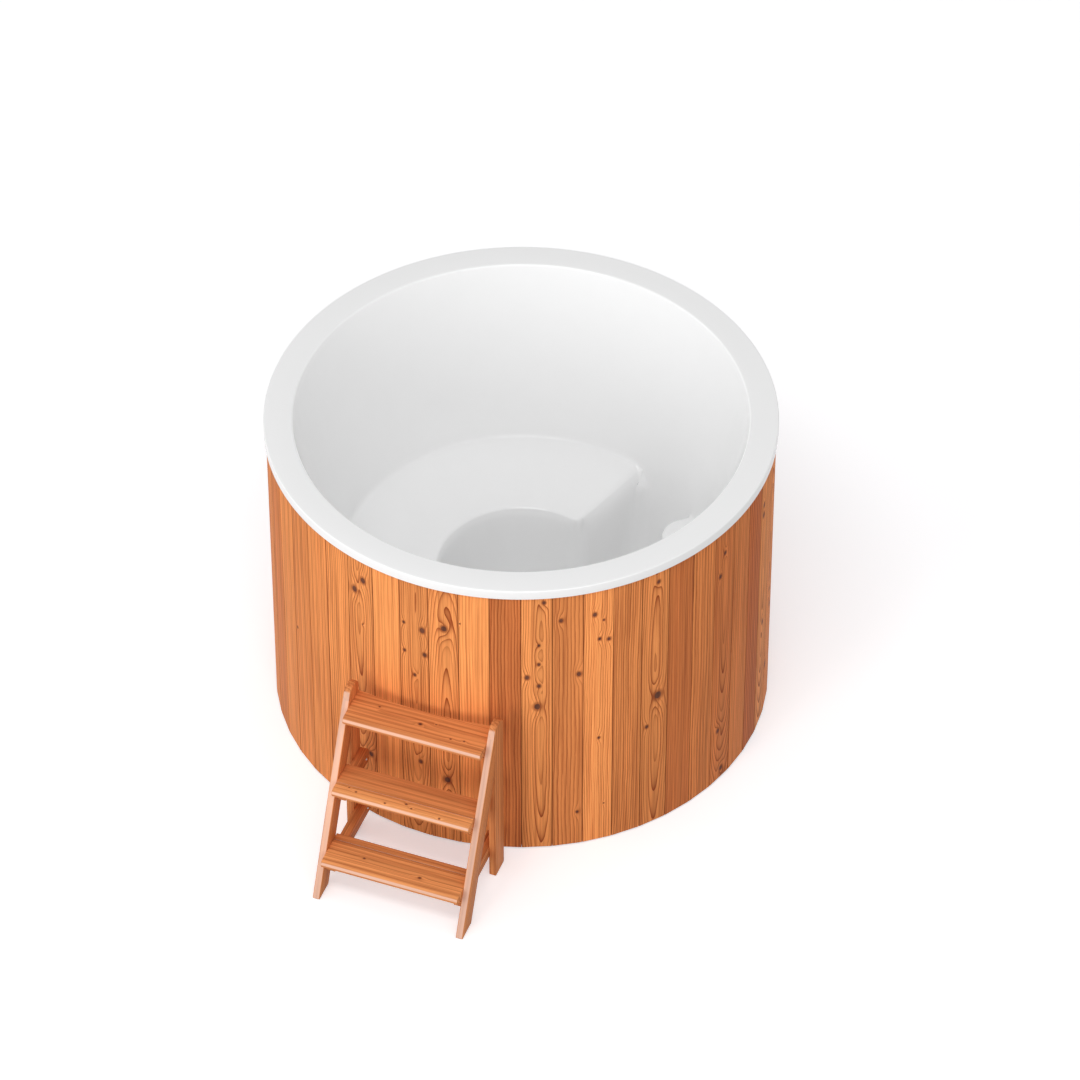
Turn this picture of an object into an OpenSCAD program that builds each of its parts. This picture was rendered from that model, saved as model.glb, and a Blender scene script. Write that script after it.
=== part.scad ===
// Round cold plunge tub: white moulded liner, upright timber staves, three-tread ladder, rear drain.
// Millimetres, +Z up. Origin on the tub axis at the floor; the ladder stands at -Y, the drain leaves at +Y.

/* [Tub] */
// outer radius of the timber cladding, across the stave corners
tub_r = 750; // [700:5:800]
// height of the rim's top face above the floor
rim_top = 1055.5; // [1000:0.5:1120]
// number of staves round the tub, thirteen in each quarter
stave_count = 52; // [48:4:56]
// thickness of one stave
stave_t = 28; // [22:1:32]
// open line between two neighbouring staves
stave_gap = 0.8; // [0.6:0.1:1.2]
// small bevel on each stave's outer corners
stave_bevel = 1.4; // [0.8:0.1:2]
// height of the staves' lower ends above the floor
stave_lift = 4; // [2:1:10]

/* [Liner] */
// thickness of the moulded shell
shell_t = 8; // [6:0.5:10]
// width of the rim from its inner edge to the outside of the staves
rim_w = 80; // [70:1:92]
// how far the rim's outer lip stands out past the staves
lip_out = 5.5; // [4:0.5:8]
// height of the rim's down-turned lip
lip_h = 31; // [24:1:40]
// thickness of the rim's flat top
rim_t = 6; // [5:0.5:8]
// height of the bench where it meets the sloping wall
bench_z = 476; // [440:1:510]
// fall of the bench from the wall to its inner edge
bench_fall = 34; // [10:1:45]
// how far the wall leans in from the rim down to the bench
wall_lean = 129; // [110:1:148]
// radius of the foot well at the bench's inner edge
well_r = 251; // [235:1:280]
// height of the foot well's floor
floor_z = 96; // [94:1:120]
// height of the bay's floor above the foot well's, so that it drains
bay_rise = 2; // [1:0.5:6]
// half angle of the open bay cut through the bench
bay_half = 47; // [40:1:52]
// half angle of the entry step inside the bay
step_half = 20; // [16:1:24]
// depth of the entry step from its straight inner face to the wall
step_deep = 121; // [100:1:136]
// direction of the middle of the bay, counter-clockwise from +X
bay_dir = 20.7; // [10:0.1:30]

/* [Inner frame] */
// gap between the liner's wall and the frame rings
ring_gap = 6; // [4:0.5:8]
// thickness of the frame rings
ring_t = 21; // [15:1:24]
// height of the middle ring's underside
mid_ring_z = 550; // [500:5:620]
// number of upright posts in each tier
post_count = 12; // [8:1:14]
// width of each post along the ring
post_w = 45; // [35:1:60]
// thickness of the base plate
plate_t = 18; // [15:1:20]
// width of one base joist
joist_w = 44; // [36:1:48]
// distance between neighbouring joists
joist_pitch = 270; // [255:1:280]
// thickness of the rubber pads below the joists
pad_t = 5; // [3:1:8]
// length of each rubber pad
pad_len = 100; // [60:5:140]
// thickness of the plates that carry the bench
prop_t = 18; // [12:1:24]
// thickness of the foam round the liner's wall
foam_t = 10; // [6:1:12]
// thickness of the foam tape below the rim
tape_t = 3.5; // [2:0.5:5]

/* [Drain] */
// outer radius of the drain pipe
pipe_r = 16; // [14:0.5:17]
// wall of the drain pipe and tail
pipe_wall = 3; // [2:0.5:3.5]
// height of the pipe's centre line
pipe_z = 36; // [34:0.5:38]
// radius of the strainer's rim on the well floor
strainer_r = 40; // [34:1:44]
// length of the valve body
valve_len = 80; // [72:1:90]
// radius of the valve's ball
ball_r = 18; // [17:0.5:19]
// radius of the passage through the ball and the valve
bore_r = 12; // [9:0.5:13]
// radius of the valve's stem
stem_r = 5; // [4:0.5:6]
// length of the lever from the stem to its tip
lever_len = 95; // [75:1:110]
// radius of the hose tail outside the valve
hose_r = 12.5; // [11:0.5:13]
// length of the hose tail past its hexagon
hose_tail_len = 36; // [30:1:60]

/* [Ladder] */
// width over the outer faces of the two sides
ladder_w = 472; // [420:2:520]
// overall height of the rear legs
ladder_h = 606; // [580:2:640]
// thickness of the side boards
side_t = 22; // [20:1:28]
// level depth of each sloping side board
side_d = 73; // [60:1:80]
// height of the rear legs' rounded tops above their joint with the side boards
leg_rise = 18; // [14:1:24]
// clear gap from the rear legs back to the outermost line of the tub
ladder_gap = 17; // [12:1:25]
// distance from the back of the rear legs to the front of the feet
ladder_reach = 341; // [330:1:360]
// depth of the rear legs
leg_d = 67; // [60:1:72]
// height of the lower tread's top face
tread_low = 144; // [130:2:160]
// height of the middle tread's top face
tread_mid = 349; // [330:2:370]
// height of the rear legs' tops above the upper tread's top face
tread_drop = 50; // [40:2:60]
// thickness of the treads
tread_t = 28; // [22:1:32]
// how far each tread's nose stands ahead of the side boards
nose = 44; // [30:1:50]
// width of the middle tread's narrow front board
mid_front_w = 41; // [34:1:60]
// width of the middle tread's back board
mid_back_w = 79; // [60:1:90]
// width of the lower tread's wide front board
low_front_w = 99.6; // [80:0.2:110]
// width of the lower tread's back strip
low_back_w = 27; // [20:1:34]
// width of the bearers below the treads
bearer_w = 28; // [20:1:32]
// height of the lower and middle bearers
bearer_h = 44; // [30:1:50]

/* [Hidden] */
half_a = 180 / stave_count;
rim_inner_r = tub_r - rim_w;
bench_wall_r = rim_inner_r - wall_lean;
step_in = bench_wall_r - step_deep;
stave_apothem = tub_r * cos(half_a);
stave_in = stave_apothem - stave_t;
bay_inset = 0.8;
hairline = 0.2;
tongue_t = 6;
tongue_d = 6.5;
groove_play = 0.6;
groove_d = tongue_d + 1.2;
seat = 0.3;
wall_slope = (rim_inner_r - bench_wall_r) / (rim_top - bench_z);
wall_out = shell_t * sqrt(1 + wall_slope * wall_slope);
floor_r = well_r - (bench_z - bench_fall - floor_z) * 0.07;
liner_under = floor_z - shell_t;
bay_z = floor_z + bay_rise;
plate_under = liner_under - plate_t;
stave_top = rim_top - rim_t - tape_t;
ring_out = stave_in - 0.4;
ring_in = wall_back_r(rim_top) + ring_gap;
ring_w = ring_out - ring_in;
ring_joint = 0.6;
top_ring_z = stave_top - ring_t;
low_ring_top = liner_under + ring_t;
exit_a = 3 * half_a;
drain_x = stave_apothem * sin(exit_a);
exit_y = (stave_apothem - drain_x * sin(exit_a)) / cos(exit_a);
tail_r = pipe_r + 3;
socket_r = tail_r + 5;
flange_t = 3.5;
plate_hole_r = strainer_r + 8;
valve_y = exit_y + 20 + valve_len / 2;
socket_deep = valve_len / 2 - ball_r - 4;
pipe_start = 29;
pipe_end = valve_y - valve_len / 2 + socket_deep - 1;
valve_r = ball_r + 7;
boss_top = valve_r + 9;
lever_t = 4;
leg_back_y = tub_r + ladder_gap;
foot_y = leg_back_y + ladder_reach;
side_x = ladder_w / 2;
inner_x = side_x - side_t;
leg_front_y = leg_back_y + leg_d;
joint_z = ladder_h - leg_rise;
side_run = (ladder_reach - leg_d) / joint_z;
side_lean = atan(side_run);
leg_round = min(leg_d * 0.44, leg_rise / (1 - sin(side_lean)));
tread_top = ladder_h - tread_drop;
tread_x = inner_x - seat;
nose_z = 10;
top_front_y = front_y(tread_top - nose_z) + nose;
mid_front_y = front_y(tread_mid - nose_z) + nose;
mid_joint_y = mid_front_y - mid_front_w;
mid_back_y = mid_joint_y - mid_back_w;
low_front_y = front_y(tread_low - nose_z) + nose;
low_joint_y = low_front_y - low_front_w;
low_back_y = low_joint_y - low_back_w;
top_back_y = leg_back_y + 16;
top_back_arc = 1400;
top_cleat_h = 30;
round_n = 96;
part_n = 40;

acrylic = [0.93, 0.93, 0.92];
cedar = [0.80, 0.52, 0.30];
ladder_wood = [0.78, 0.45, 0.24];
plywood = [0.76, 0.64, 0.45];
rubber = [0.12, 0.12, 0.12];
steel = [0.70, 0.71, 0.73];
brass = [0.78, 0.62, 0.28];
plastic = [0.75, 0.76, 0.78];

// radius of the liner's inner and outer wall at a height
function wall_r(z) = rim_inner_r - (rim_top - z) * wall_slope;
function wall_back_r(z) = wall_r(z) + wall_out;
// height of the bench's top face at a radius
function bench_h(r) = bench_z - bench_fall * (bench_wall_r - r) / (bench_wall_r - well_r);
// height of the bench's underside at a radius
function bench_under(r) = bench_h(r) - shell_t * 1.01;
// points on an arc
function arc(cx, cz, r, a0, a1, n) =
    [for (i = [0:n]) let(a = a0 + (a1 - a0) * i / n) [cx + r * cos(a), cz + r * sin(a)]];
// front face of the ladder's side boards at a height
function front_y(z) = foot_y - side_run * z;

module ring(r_out, r_in, h, n = round_n) {
    rotate_extrude($fn = n) translate([r_in, 0]) square([r_out - r_in, h]);
}

module tube(r_out, r_in, h, n = part_n) {
    difference() {
        cylinder(r = r_out, h = h, $fn = n);
        translate([0, 0, -1]) cylinder(r = r_in, h = h + 2, $fn = n);
    }
}

// runs its children along +Y from the origin
module along_y() { rotate([-90, 0, 0]) children(); }

module wedge(half, r, h) {
    linear_extrude(height = h)
        polygon([[0, 0], [r * cos(half), -r * sin(half)], [r, -r * tan(half / 2)], [r, r * tan(half / 2)],
            [r * cos(half), r * sin(half)]]);
}

// inside of the tub without the bay
module cavity_round() {
    e = 14;
    b = 22;
    bz = bench_h(well_r);
    rotate_extrude($fn = round_n)
        polygon(concat(
            [[0, floor_z]],
            arc(floor_r - b, floor_z + b, b, -90, -4, 3),
            [[well_r - 1, bz - e], [well_r + 3, bz - 4], [well_r + e, bench_h(well_r + e)]],
            [[bench_wall_r - 18, bench_h(bench_wall_r - 18)], [bench_wall_r - 5, bench_z + 3],
                [wall_r(bench_z + 18), bench_z + 18]],
            [[wall_r(rim_top - 6), rim_top - 6], [rim_inner_r + 2, rim_top - 1.5], [rim_inner_r + 6, rim_top],
                [rim_inner_r + 6, rim_top + 10], [0, rim_top + 10]]));
}

// cone that carries on the tub wall from above the bench down to the floor, inside or outside face
module wall_cone(extra, z0) {
    z1 = bench_z + 40;
    translate([0, 0, z0])
        cylinder(r1 = wall_r(z0) + extra, r2 = wall_r(z1) + extra, h = z1 - z0, $fn = round_n);
}

module step_block(half, from, top, z0) {
    intersection() {
        translate([0, 0, z0]) wedge(half, tub_r, top - z0);
        translate([from, -tub_r, z0]) cube([tub_r, 2 * tub_r, top - z0]);
    }
}

module cavity_bay() {
    rotate([0, 0, bay_dir]) difference() {
        intersection() {
            wall_cone(-bay_inset, bay_z);
            translate([0, 0, bay_z]) wedge(bay_half, tub_r, bench_z + 36 - bay_z);
        }
        step_block(step_half, step_in, bench_z, bay_z - 1);
    }
}

module shell_outer() {
    side_a = asin(shell_t / (0.6 * bench_wall_r));
    z0 = liner_under + bay_rise;
    rotate_extrude($fn = round_n)
        polygon([[0, liner_under],
            [floor_r + shell_t - 12, liner_under], [floor_r + shell_t, liner_under + 12],
            [well_r + shell_t, bench_under(well_r + shell_t)],
            [bench_wall_r, bench_under(bench_wall_r)], [wall_back_r(bench_z), bench_z],
            [wall_back_r(rim_top - rim_t), rim_top - rim_t], [tub_r + 1, rim_top - rim_t],
            [tub_r + 1, rim_top - lip_h], [tub_r + lip_out, rim_top - lip_h],
            [tub_r + lip_out, rim_top - 3], [tub_r + lip_out - 1, rim_top - 1],
            [tub_r + lip_out - 3, rim_top], [0, rim_top]]);
    rotate([0, 0, bay_dir]) difference() {
        intersection() {
            wall_cone(wall_out - bay_inset, z0);
            translate([0, 0, z0]) wedge(bay_half + side_a, tub_r, bench_z + 30 - z0);
        }
        step_block(step_half - side_a, step_in + shell_t, bench_z - shell_t, z0 - 1);
    }
}

// hairline cuts that part the shell into a floor disc and sectors, so that collision pieces follow its wall
module sector_cuts() {
    disc_r = drain_x + tail_r + 16;
    translate([0, 0, liner_under - 1]) {
        ring(disc_r + hairline, disc_r, shell_t + 3);
        for (a = [45, 135, 225, 315, bay_dir - bay_half, bay_dir + bay_half]) rotate([0, 0, a])
            translate([disc_r + hairline / 2, -hairline / 2, 0]) cube([tub_r, hairline, rim_top]);
    }
}

module liner() {
    color(acrylic) difference() {
        shell_outer();
        cavity_round();
        cavity_bay();
        sector_cuts();
        translate([drain_x, 0, liner_under - 1]) cylinder(r = tail_r + 0.5, h = shell_t + 2, $fn = part_n);
    }
}

module rim_tape() {
    color(rubber) translate([0, 0, stave_top]) ring(stave_in + stave_t - 6, ring_in + 4, tape_t);
}

// a point on a stave's joint: distance out along the joint, side, and reach across it
function joint_pt(p, s, d) =
    let(nx = -sin(half_a), ny = cos(half_a), g = stave_gap / 2)
    s > 0 ? [p * cos(half_a) + (d - g) * nx, p * sin(half_a) + (d - g) * ny]
          : [p * cos(half_a) - (d + g) * nx, -p * sin(half_a) + (d + g) * ny];

module stave() {
    m = tub_r - stave_t / 2;
    t = tongue_t / 2;
    g = t + groove_play / 2;
    i = stave_in / cos(half_a);
    y = stave_apothem * tan(half_a) - stave_gap / 2 - stave_bevel;
    translate([0, 0, stave_lift]) linear_extrude(height = stave_top - stave_lift)
        polygon([[stave_apothem, -y], [stave_apothem, y],
            joint_pt(tub_r - stave_bevel, 1, 0), joint_pt(m + t, 1, 0), joint_pt(m + t, 1, tongue_d),
            joint_pt(m - t, 1, tongue_d), joint_pt(m - t, 1, 0), joint_pt(i, 1, 0),
            joint_pt(i, -1, 0), joint_pt(m - g, -1, 0), joint_pt(m - g, -1, groove_d),
            joint_pt(m + g, -1, groove_d), joint_pt(m + g, -1, 0), joint_pt(tub_r - stave_bevel, -1, 0)]);
}

// one quarter of the cladding, each stave a separate board
module stave_quarter(start) {
    n = stave_count / 4;
    color(cedar) for (k = [0:n - 1]) rotate([0, 0, start + half_a * (2 * k + 1)]) stave();
}

module staves_front_right() { stave_quarter(-90); }
module staves_rear_right() {
    difference() {
        stave_quarter(0);
        translate([drain_x, exit_y - 60, pipe_z]) along_y() cylinder(r = pipe_r + 4, h = 90, $fn = part_n);
    }
}
module staves_rear_left() { stave_quarter(90); }
module staves_front_left() { stave_quarter(180); }

// a frame ring of four curved plywood pieces laid end to end
module frame_ring(z) {
    color(plywood) translate([0, 0, z]) difference() {
        ring(ring_out, ring_in, ring_t);
        for (a = [45, 135]) rotate([0, 0, a])
            translate([-tub_r, -ring_joint / 2, -1]) cube([2 * tub_r, ring_joint, ring_t + 2]);
    }
}
module top_ring() { frame_ring(top_ring_z); }
module middle_ring() { frame_ring(mid_ring_z); }
module lower_ring() { frame_ring(liner_under); }

module posts(z0, z1) {
    color(plywood) for (k = [0:post_count - 1]) rotate([0, 0, 360 * (k + 0.5) / post_count])
        translate([ring_in + 2, -post_w / 2, z0]) cube([ring_w - 6, post_w, z1 - z0]);
}
module upper_posts() { posts(mid_ring_z + ring_t, top_ring_z); }
module lower_posts() { posts(low_ring_top, mid_ring_z); }

module base_plate() {
    color(plywood) translate([0, 0, plate_under]) difference() {
        cylinder(r = ring_out, h = plate_t, $fn = round_n);
        translate([drain_x, 0, -1]) cylinder(r = plate_hole_r, h = plate_t + 2, $fn = part_n);
    }
}

function joist_half(i) = sqrt(pow(ring_out - 6, 2) - pow(abs(i) * joist_pitch + joist_w / 2, 2));

module base_joists() {
    color(cedar) for (i = [-2:2])
        translate([i * joist_pitch - joist_w / 2, -joist_half(i), pad_t])
            cube([joist_w, 2 * joist_half(i), plate_under - pad_t]);
}

module base_pads() {
    w = joist_w - 6;
    color(rubber) for (i = [-2:2]) for (j = [-1:1])
        translate([i * joist_pitch - w / 2, j * (joist_half(i) - 0.6 * pad_len) - pad_len / 2, 0])
            cube([w, pad_len, pad_t]);
}

module bench_props() {
    r0 = well_r + shell_t + 14;
    r1 = bench_wall_r - 60;
    color(plywood) for (k = [0:5]) rotate([0, 0, bay_dir + bay_half + 18 + k * (324 - 2 * bay_half) / 5])
        translate([0, prop_t / 2, 0]) rotate([90, 0, 0]) linear_extrude(height = prop_t)
            polygon([[r0, liner_under], [r1, liner_under], [r1, bench_under(r1) - seat],
                [r0, bench_under(r0) - seat]]);
}

module insulation() {
    z0 = bench_z + 30;
    z1 = top_ring_z - 10;
    color([0.86, 0.80, 0.55]) rotate_extrude($fn = round_n)
        polygon([[wall_back_r(z0) + seat, z0], [wall_back_r(z0) + foam_t, z0],
            [wall_back_r(z1) + foam_t, z1], [wall_back_r(z1) + seat, z1]]);
}

// places its children on the drain's upright axis
module at_drain(z) { translate([drain_x, 0, z]) children(); }

module strainer_rim() {
    color(steel) at_drain(floor_z) difference() {
        cylinder(r1 = strainer_r, r2 = strainer_r - 2, h = flange_t, $fn = part_n);
        translate([0, 0, -1]) cylinder(r = tail_r + 0.2, h = flange_t + 2, $fn = part_n);
        translate([0, 0, 1.5]) cylinder(r = strainer_r - 8, h = flange_t, $fn = part_n);
    }
}

module strainer_grate() {
    r = strainer_r - 8.5;
    color(steel) at_drain(floor_z + 1.5) difference() {
        cylinder(r = r, h = 1.8, $fn = part_n);
        translate([0, 0, -1]) cylinder(r = 2.4, h = 4, $fn = 16);
        for (a = [0:45:315]) rotate([0, 0, a]) translate([(r + 8) / 2 - 1, 0, -1])
            cylinder(r = 3.2, h = 4, $fn = 12);
    }
}

module strainer_screw() {
    color(steel) at_drain(floor_z + 1.5 + 1.8) {
        cylinder(r1 = 4.5, r2 = 3, h = 1.6, $fn = 24);
        translate([0, 0, -9]) cylinder(r = 2.2, h = 9, $fn = 16);
    }
}

module drain_tail() {
    z0 = pipe_z + 12;
    color(plastic) at_drain(z0) {
        tube(tail_r, tail_r - pipe_wall, floor_z + 1.3 - z0);
        translate([0, 0, floor_z - 8 - z0]) difference() {
            union() {
                translate([-(tail_r - 1), -3, 0]) cube([2 * (tail_r - 1), 6, 6]);
                cylinder(r = 5, h = 6, $fn = 24);
            }
            translate([0, 0, -1]) cylinder(r = 2.24, h = 8, $fn = 16);
        }
    }
}

module drain_gasket() { color(rubber) at_drain(liner_under - 3) tube(strainer_r - 4, tail_r + 0.2, 3); }

module drain_locknut() {
    color(plastic) at_drain(liner_under - 13) difference() {
        cylinder(r = strainer_r - 3, h = 10, $fn = 8);
        translate([0, 0, -1]) cylinder(r = tail_r + 0.2, h = 12, $fn = part_n);
    }
}

module drain_elbow() {
    color(plastic) at_drain(pipe_z) difference() {
        union() {
            sphere(r = socket_r, $fn = part_n);
            cylinder(r = socket_r, h = 34, $fn = part_n);
            along_y() cylinder(r = socket_r - 3, h = 2 * pipe_start, $fn = part_n);
        }
        cylinder(r = tail_r - pipe_wall, h = 40, $fn = part_n);
        translate([0, 0, 12]) cylinder(r = tail_r + 0.2, h = 40, $fn = part_n);
        along_y() cylinder(r = pipe_r - pipe_wall, h = 60, $fn = part_n);
        translate([0, pipe_start - 1, 0]) along_y() cylinder(r = pipe_r + 0.2, h = 40, $fn = part_n);
    }
}

module drain_pipe() {
    color(plastic) translate([drain_x, pipe_start, pipe_z]) along_y()
        tube(pipe_r, pipe_r - pipe_wall, pipe_end - pipe_start);
}

// positions of the pipe clips along the pipe
clip_y = [0.3 * exit_y, 0.7 * exit_y];

module pipe_clips() {
    w = 20;
    r = pipe_r + 3;
    color(plastic) for (y = clip_y) translate([drain_x, y - w / 2, pipe_z]) {
        difference() {
            union() {
                along_y() cylinder(r = r, h = w, $fn = part_n);
                translate([-r, 0, 0]) cube([2 * r, w, plate_under - pipe_z]);
                translate([-r - 14, 0, plate_under - pipe_z - 4]) cube([2 * r + 28, w, 4]);
            }
            translate([0, -1, 0]) along_y() cylinder(r = pipe_r + seat, h = w + 2, $fn = part_n);
            for (s = [-1, 1]) translate([s * (r + 7), w / 2, plate_under - pipe_z - 5])
                cylinder(r = 2.4, h = 6, $fn = 16);
        }
    }
}

module pipe_clip_screws() {
    r = pipe_r + 3;
    color(steel) for (y = clip_y) for (s = [-1, 1]) translate([drain_x + s * (r + 7), y, plate_under - 4]) {
        translate([0, 0, -2.4]) cylinder(r1 = 3, r2 = 4.2, h = 2.4, $fn = 20);
        cylinder(r = 2.2, h = 16, $fn = 16);
    }
}

module wall_plate() {
    color(steel) translate([drain_x, exit_y, pipe_z]) rotate([0, 0, -exit_a]) difference() {
        along_y() cylinder(r1 = pipe_r + 15, r2 = pipe_r + 13, h = 5, $fn = part_n);
        translate([0, -1, 0]) along_y() cylinder(r = pipe_r + 1.5, h = 7, $fn = part_n);
    }
}

// places its children on the valve's centre, pipe axis along Y
module at_valve() { translate([drain_x, valve_y, pipe_z]) children(); }

module valve_body() {
    color(brass) at_valve() difference() {
        union() {
            translate([0, -ball_r - 3, 0]) along_y() cylinder(r = valve_r, h = 2 * ball_r + 6, $fn = part_n);
            translate([0, -valve_len / 2, 0]) along_y() cylinder(r = valve_r, h = 14, $fn = 6);
            translate([0, valve_len / 2 - 14, 0]) along_y() cylinder(r = valve_r, h = 14, $fn = 6);
            translate([0, -valve_len / 2 + 4, 0]) along_y()
                cylinder(r = pipe_r + 4, h = valve_len - 8, $fn = part_n);
            cylinder(r = stem_r + 6, h = boss_top, $fn = part_n);
        }
        sphere(r = ball_r + seat, $fn = part_n);
        translate([0, -valve_len / 2 - 1, 0]) along_y() cylinder(r = bore_r, h = valve_len + 2, $fn = part_n);
        for (y = [-valve_len / 2 - 1, valve_len / 2 - socket_deep]) translate([0, y, 0]) along_y()
            cylinder(r = pipe_r + 0.2, h = socket_deep + 1, $fn = part_n);
        cylinder(r = stem_r + 0.05, h = boss_top + 1, $fn = part_n);
    }
}

module valve_ball() {
    color(steel) at_valve() difference() {
        sphere(r = ball_r, $fn = part_n);
        translate([-ball_r - 1, 0, 0]) rotate([0, 90, 0])
            cylinder(r = bore_r, h = 2 * ball_r + 2, $fn = part_n);
        translate([-stem_r - 2, -1.6, ball_r - 3]) cube([2 * stem_r + 4, 3.2, 4]);
    }
}

module valve_stem() {
    z0 = ball_r + seat;
    color(brass) at_valve() {
        translate([0, 0, z0]) cylinder(r = stem_r, h = boss_top + 1 - z0, $fn = part_n);
        translate([-stem_r + 1.2, -1.5, ball_r - 2.8]) cube([2 * stem_r - 2.4, 3, 4]);
        translate([0, 0, boss_top + 0.5]) cylinder(r = stem_r - 1.4, h = lever_t + 10, $fn = 24);
    }
}

module valve_lever() {
    color(steel) at_valve() translate([0, 0, boss_top + 1]) difference() {
        union() {
            cylinder(r = 11, h = lever_t, $fn = part_n);
            translate([0, -8, 0]) cube([lever_len - 8, 16, lever_t]);
            translate([lever_len - 8, 0, 0]) cylinder(r = 8, h = lever_t, $fn = 24);
        }
        translate([0, 0, -1]) cylinder(r = stem_r - 1.35, h = lever_t + 2, $fn = 24);
    }
}

module lever_grip() {
    x0 = 34;
    w = 10.5;
    color([0.62, 0.08, 0.07]) at_valve() translate([0, 0, boss_top + 1]) difference() {
        translate([x0, -w, -2.5]) cube([lever_len - x0 + 4, 2 * w, lever_t + 5]);
        translate([x0 - 1, -8.15, -0.15]) cube([lever_len - x0 - 6.5, 16.3, lever_t + 0.3]);
        translate([lever_len - 8, 0, -0.15]) cylinder(r = 8.15, h = lever_t + 0.3, $fn = 24);
    }
}

module lever_nut() {
    color(steel) at_valve() translate([0, 0, boss_top + 1 + lever_t]) difference() {
        cylinder(r = 7, h = 5, $fn = 6);
        translate([0, 0, -1]) cylinder(r = stem_r - 1.35, h = 7, $fn = 24);
    }
}

module hose_tail() {
    color(brass) at_valve() translate([0, valve_len / 2, 0]) difference() {
        union() {
            translate([0, 1 - socket_deep, 0]) along_y() cylinder(r = pipe_r, h = socket_deep, $fn = part_n);
            translate([0, 0.5, 0]) along_y() cylinder(r = pipe_r + 4, h = 8.5, $fn = 6);
            translate([0, 9, 0]) along_y() cylinder(r = hose_r, h = hose_tail_len - 2, $fn = part_n);
            translate([0, 7 + hose_tail_len, 0]) along_y()
                cylinder(r1 = hose_r, r2 = hose_r - 1.5, h = 2, $fn = part_n);
        }
        translate([0, -socket_deep - 1, 0]) along_y()
            cylinder(r = hose_r - 3, h = socket_deep + hose_tail_len + 20, $fn = part_n);
    }
}

// a board cut from an outline in the Y-Z plane, from x0 to x0 + t
module side_board(x0, t) {
    translate([x0, 0, 0]) rotate([90, 0, 90]) linear_extrude(height = t) children();
}

// the ladder's sloping side board, cut level at the floor and upright against the rear leg
module stringer_shape() {
    z_low = (foot_y - side_d - leg_front_y) / side_run;
    polygon([[-foot_y, 0], [-foot_y + side_d, 0], [-leg_front_y, z_low], [-leg_front_y, joint_z]]);
}

// the rear leg: above the joint its front runs on with the side board's slope into the rounded top
module leg_shape() {
    r = leg_round;
    front_centre = front_y(ladder_h - r) - r / cos(side_lean);
    polygon(concat([[-leg_front_y + hairline, 0], [-leg_back_y, 0]],
        arc(-leg_back_y - r, ladder_h - r, r, 0, 90, 8),
        arc(-front_centre, ladder_h - r, r, 90, 180 - side_lean, 8),
        [[-leg_front_y + hairline, joint_z]]));
}

module stringer_left() { color(ladder_wood) side_board(-side_x, side_t) stringer_shape(); }
module stringer_right() { color(ladder_wood) side_board(inner_x, side_t) stringer_shape(); }
module rear_leg_left() { color(ladder_wood) side_board(-side_x, side_t) leg_shape(); }
module rear_leg_right() { color(ladder_wood) side_board(inner_x, side_t) leg_shape(); }

// a tread board with a half-round nose, from y0 at the front to y1 at the back
module nosed_board(y0, y1, top) {
    r = tread_t / 2;
    side_board(-tread_x, 2 * tread_x) union() {
        translate([-y0 + r, top - tread_t]) square([y0 - y1 - r, tread_t]);
        translate([-y0 + r, top - r]) circle(r = r, $fn = 32);
    }
}

module plain_board(y0, y1, top) {
    side_board(-tread_x, 2 * tread_x) polygon([[-y0, top - tread_t], [-y1, top - tread_t],
        [-y1, top - 2], [-y1 - 2, top], [-y0 + 2, top], [-y0, top - 2]]);
}

module upper_tread() {
    color(ladder_wood) difference() {
        nosed_board(top_front_y, leg_back_y + 2, tread_top);
        translate([0, -top_back_y + top_back_arc, tread_top - tread_t - 1])
            cylinder(r = top_back_arc, h = tread_t + 2, $fn = 360);
    }
}

module middle_tread_front() { color(ladder_wood) nosed_board(mid_front_y, mid_joint_y, tread_mid); }
module middle_tread_back() { color(ladder_wood) plain_board(mid_joint_y - 0.8, mid_back_y, tread_mid); }
module lower_tread_front() { color(ladder_wood) nosed_board(low_front_y, low_joint_y, tread_low); }
module lower_tread_back() { color(ladder_wood) plain_board(low_joint_y - 2.5, low_back_y, tread_low); }

module bearer(side, top, h, y0) {
    x0 = side < 0 ? -inner_x : inner_x - bearer_w;
    color(ladder_wood) difference() {
        translate([x0, -y0, top - h]) cube([bearer_w, y0 - leg_back_y - 2, h]);
        for (y = bearer_screw_y(y0)) translate([x0 - 1, -y, top - h / 2]) rotate([0, 90, 0])
            cylinder(r = 2.4, h = bearer_w + 2, $fn = 16);
    }
}
function bearer_screw_y(y0) = [y0 - 22, leg_back_y + 24];

low_bearer_y = front_y(tread_low - tread_t) - 6;
mid_bearer_y = front_y(tread_mid - tread_t) - 6;
top_cleat_y = front_y(tread_top - tread_t) - 10;

module upper_cleat_left() { bearer(-1, tread_top - tread_t, top_cleat_h, top_cleat_y); }
module upper_cleat_right() { bearer(1, tread_top - tread_t, top_cleat_h, top_cleat_y); }
module middle_bearer_left() { bearer(-1, tread_mid - tread_t, bearer_h, mid_bearer_y); }
module middle_bearer_right() { bearer(1, tread_mid - tread_t, bearer_h, mid_bearer_y); }
module lower_bearer_left() { bearer(-1, tread_low - tread_t, bearer_h, low_bearer_y); }
module lower_bearer_right() { bearer(1, tread_low - tread_t, bearer_h, low_bearer_y); }

// a round-headed wood screw, head at x = 0, shank along +X
module wood_screw(len) {
    rotate([0, 90, 0]) {
        cylinder(r = 2.2, h = len, $fn = 12);
        translate([0, 0, -2.2]) cylinder(r1 = 2.6, r2 = 4.2, h = 2.2, $fn = 16);
    }
}

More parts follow.
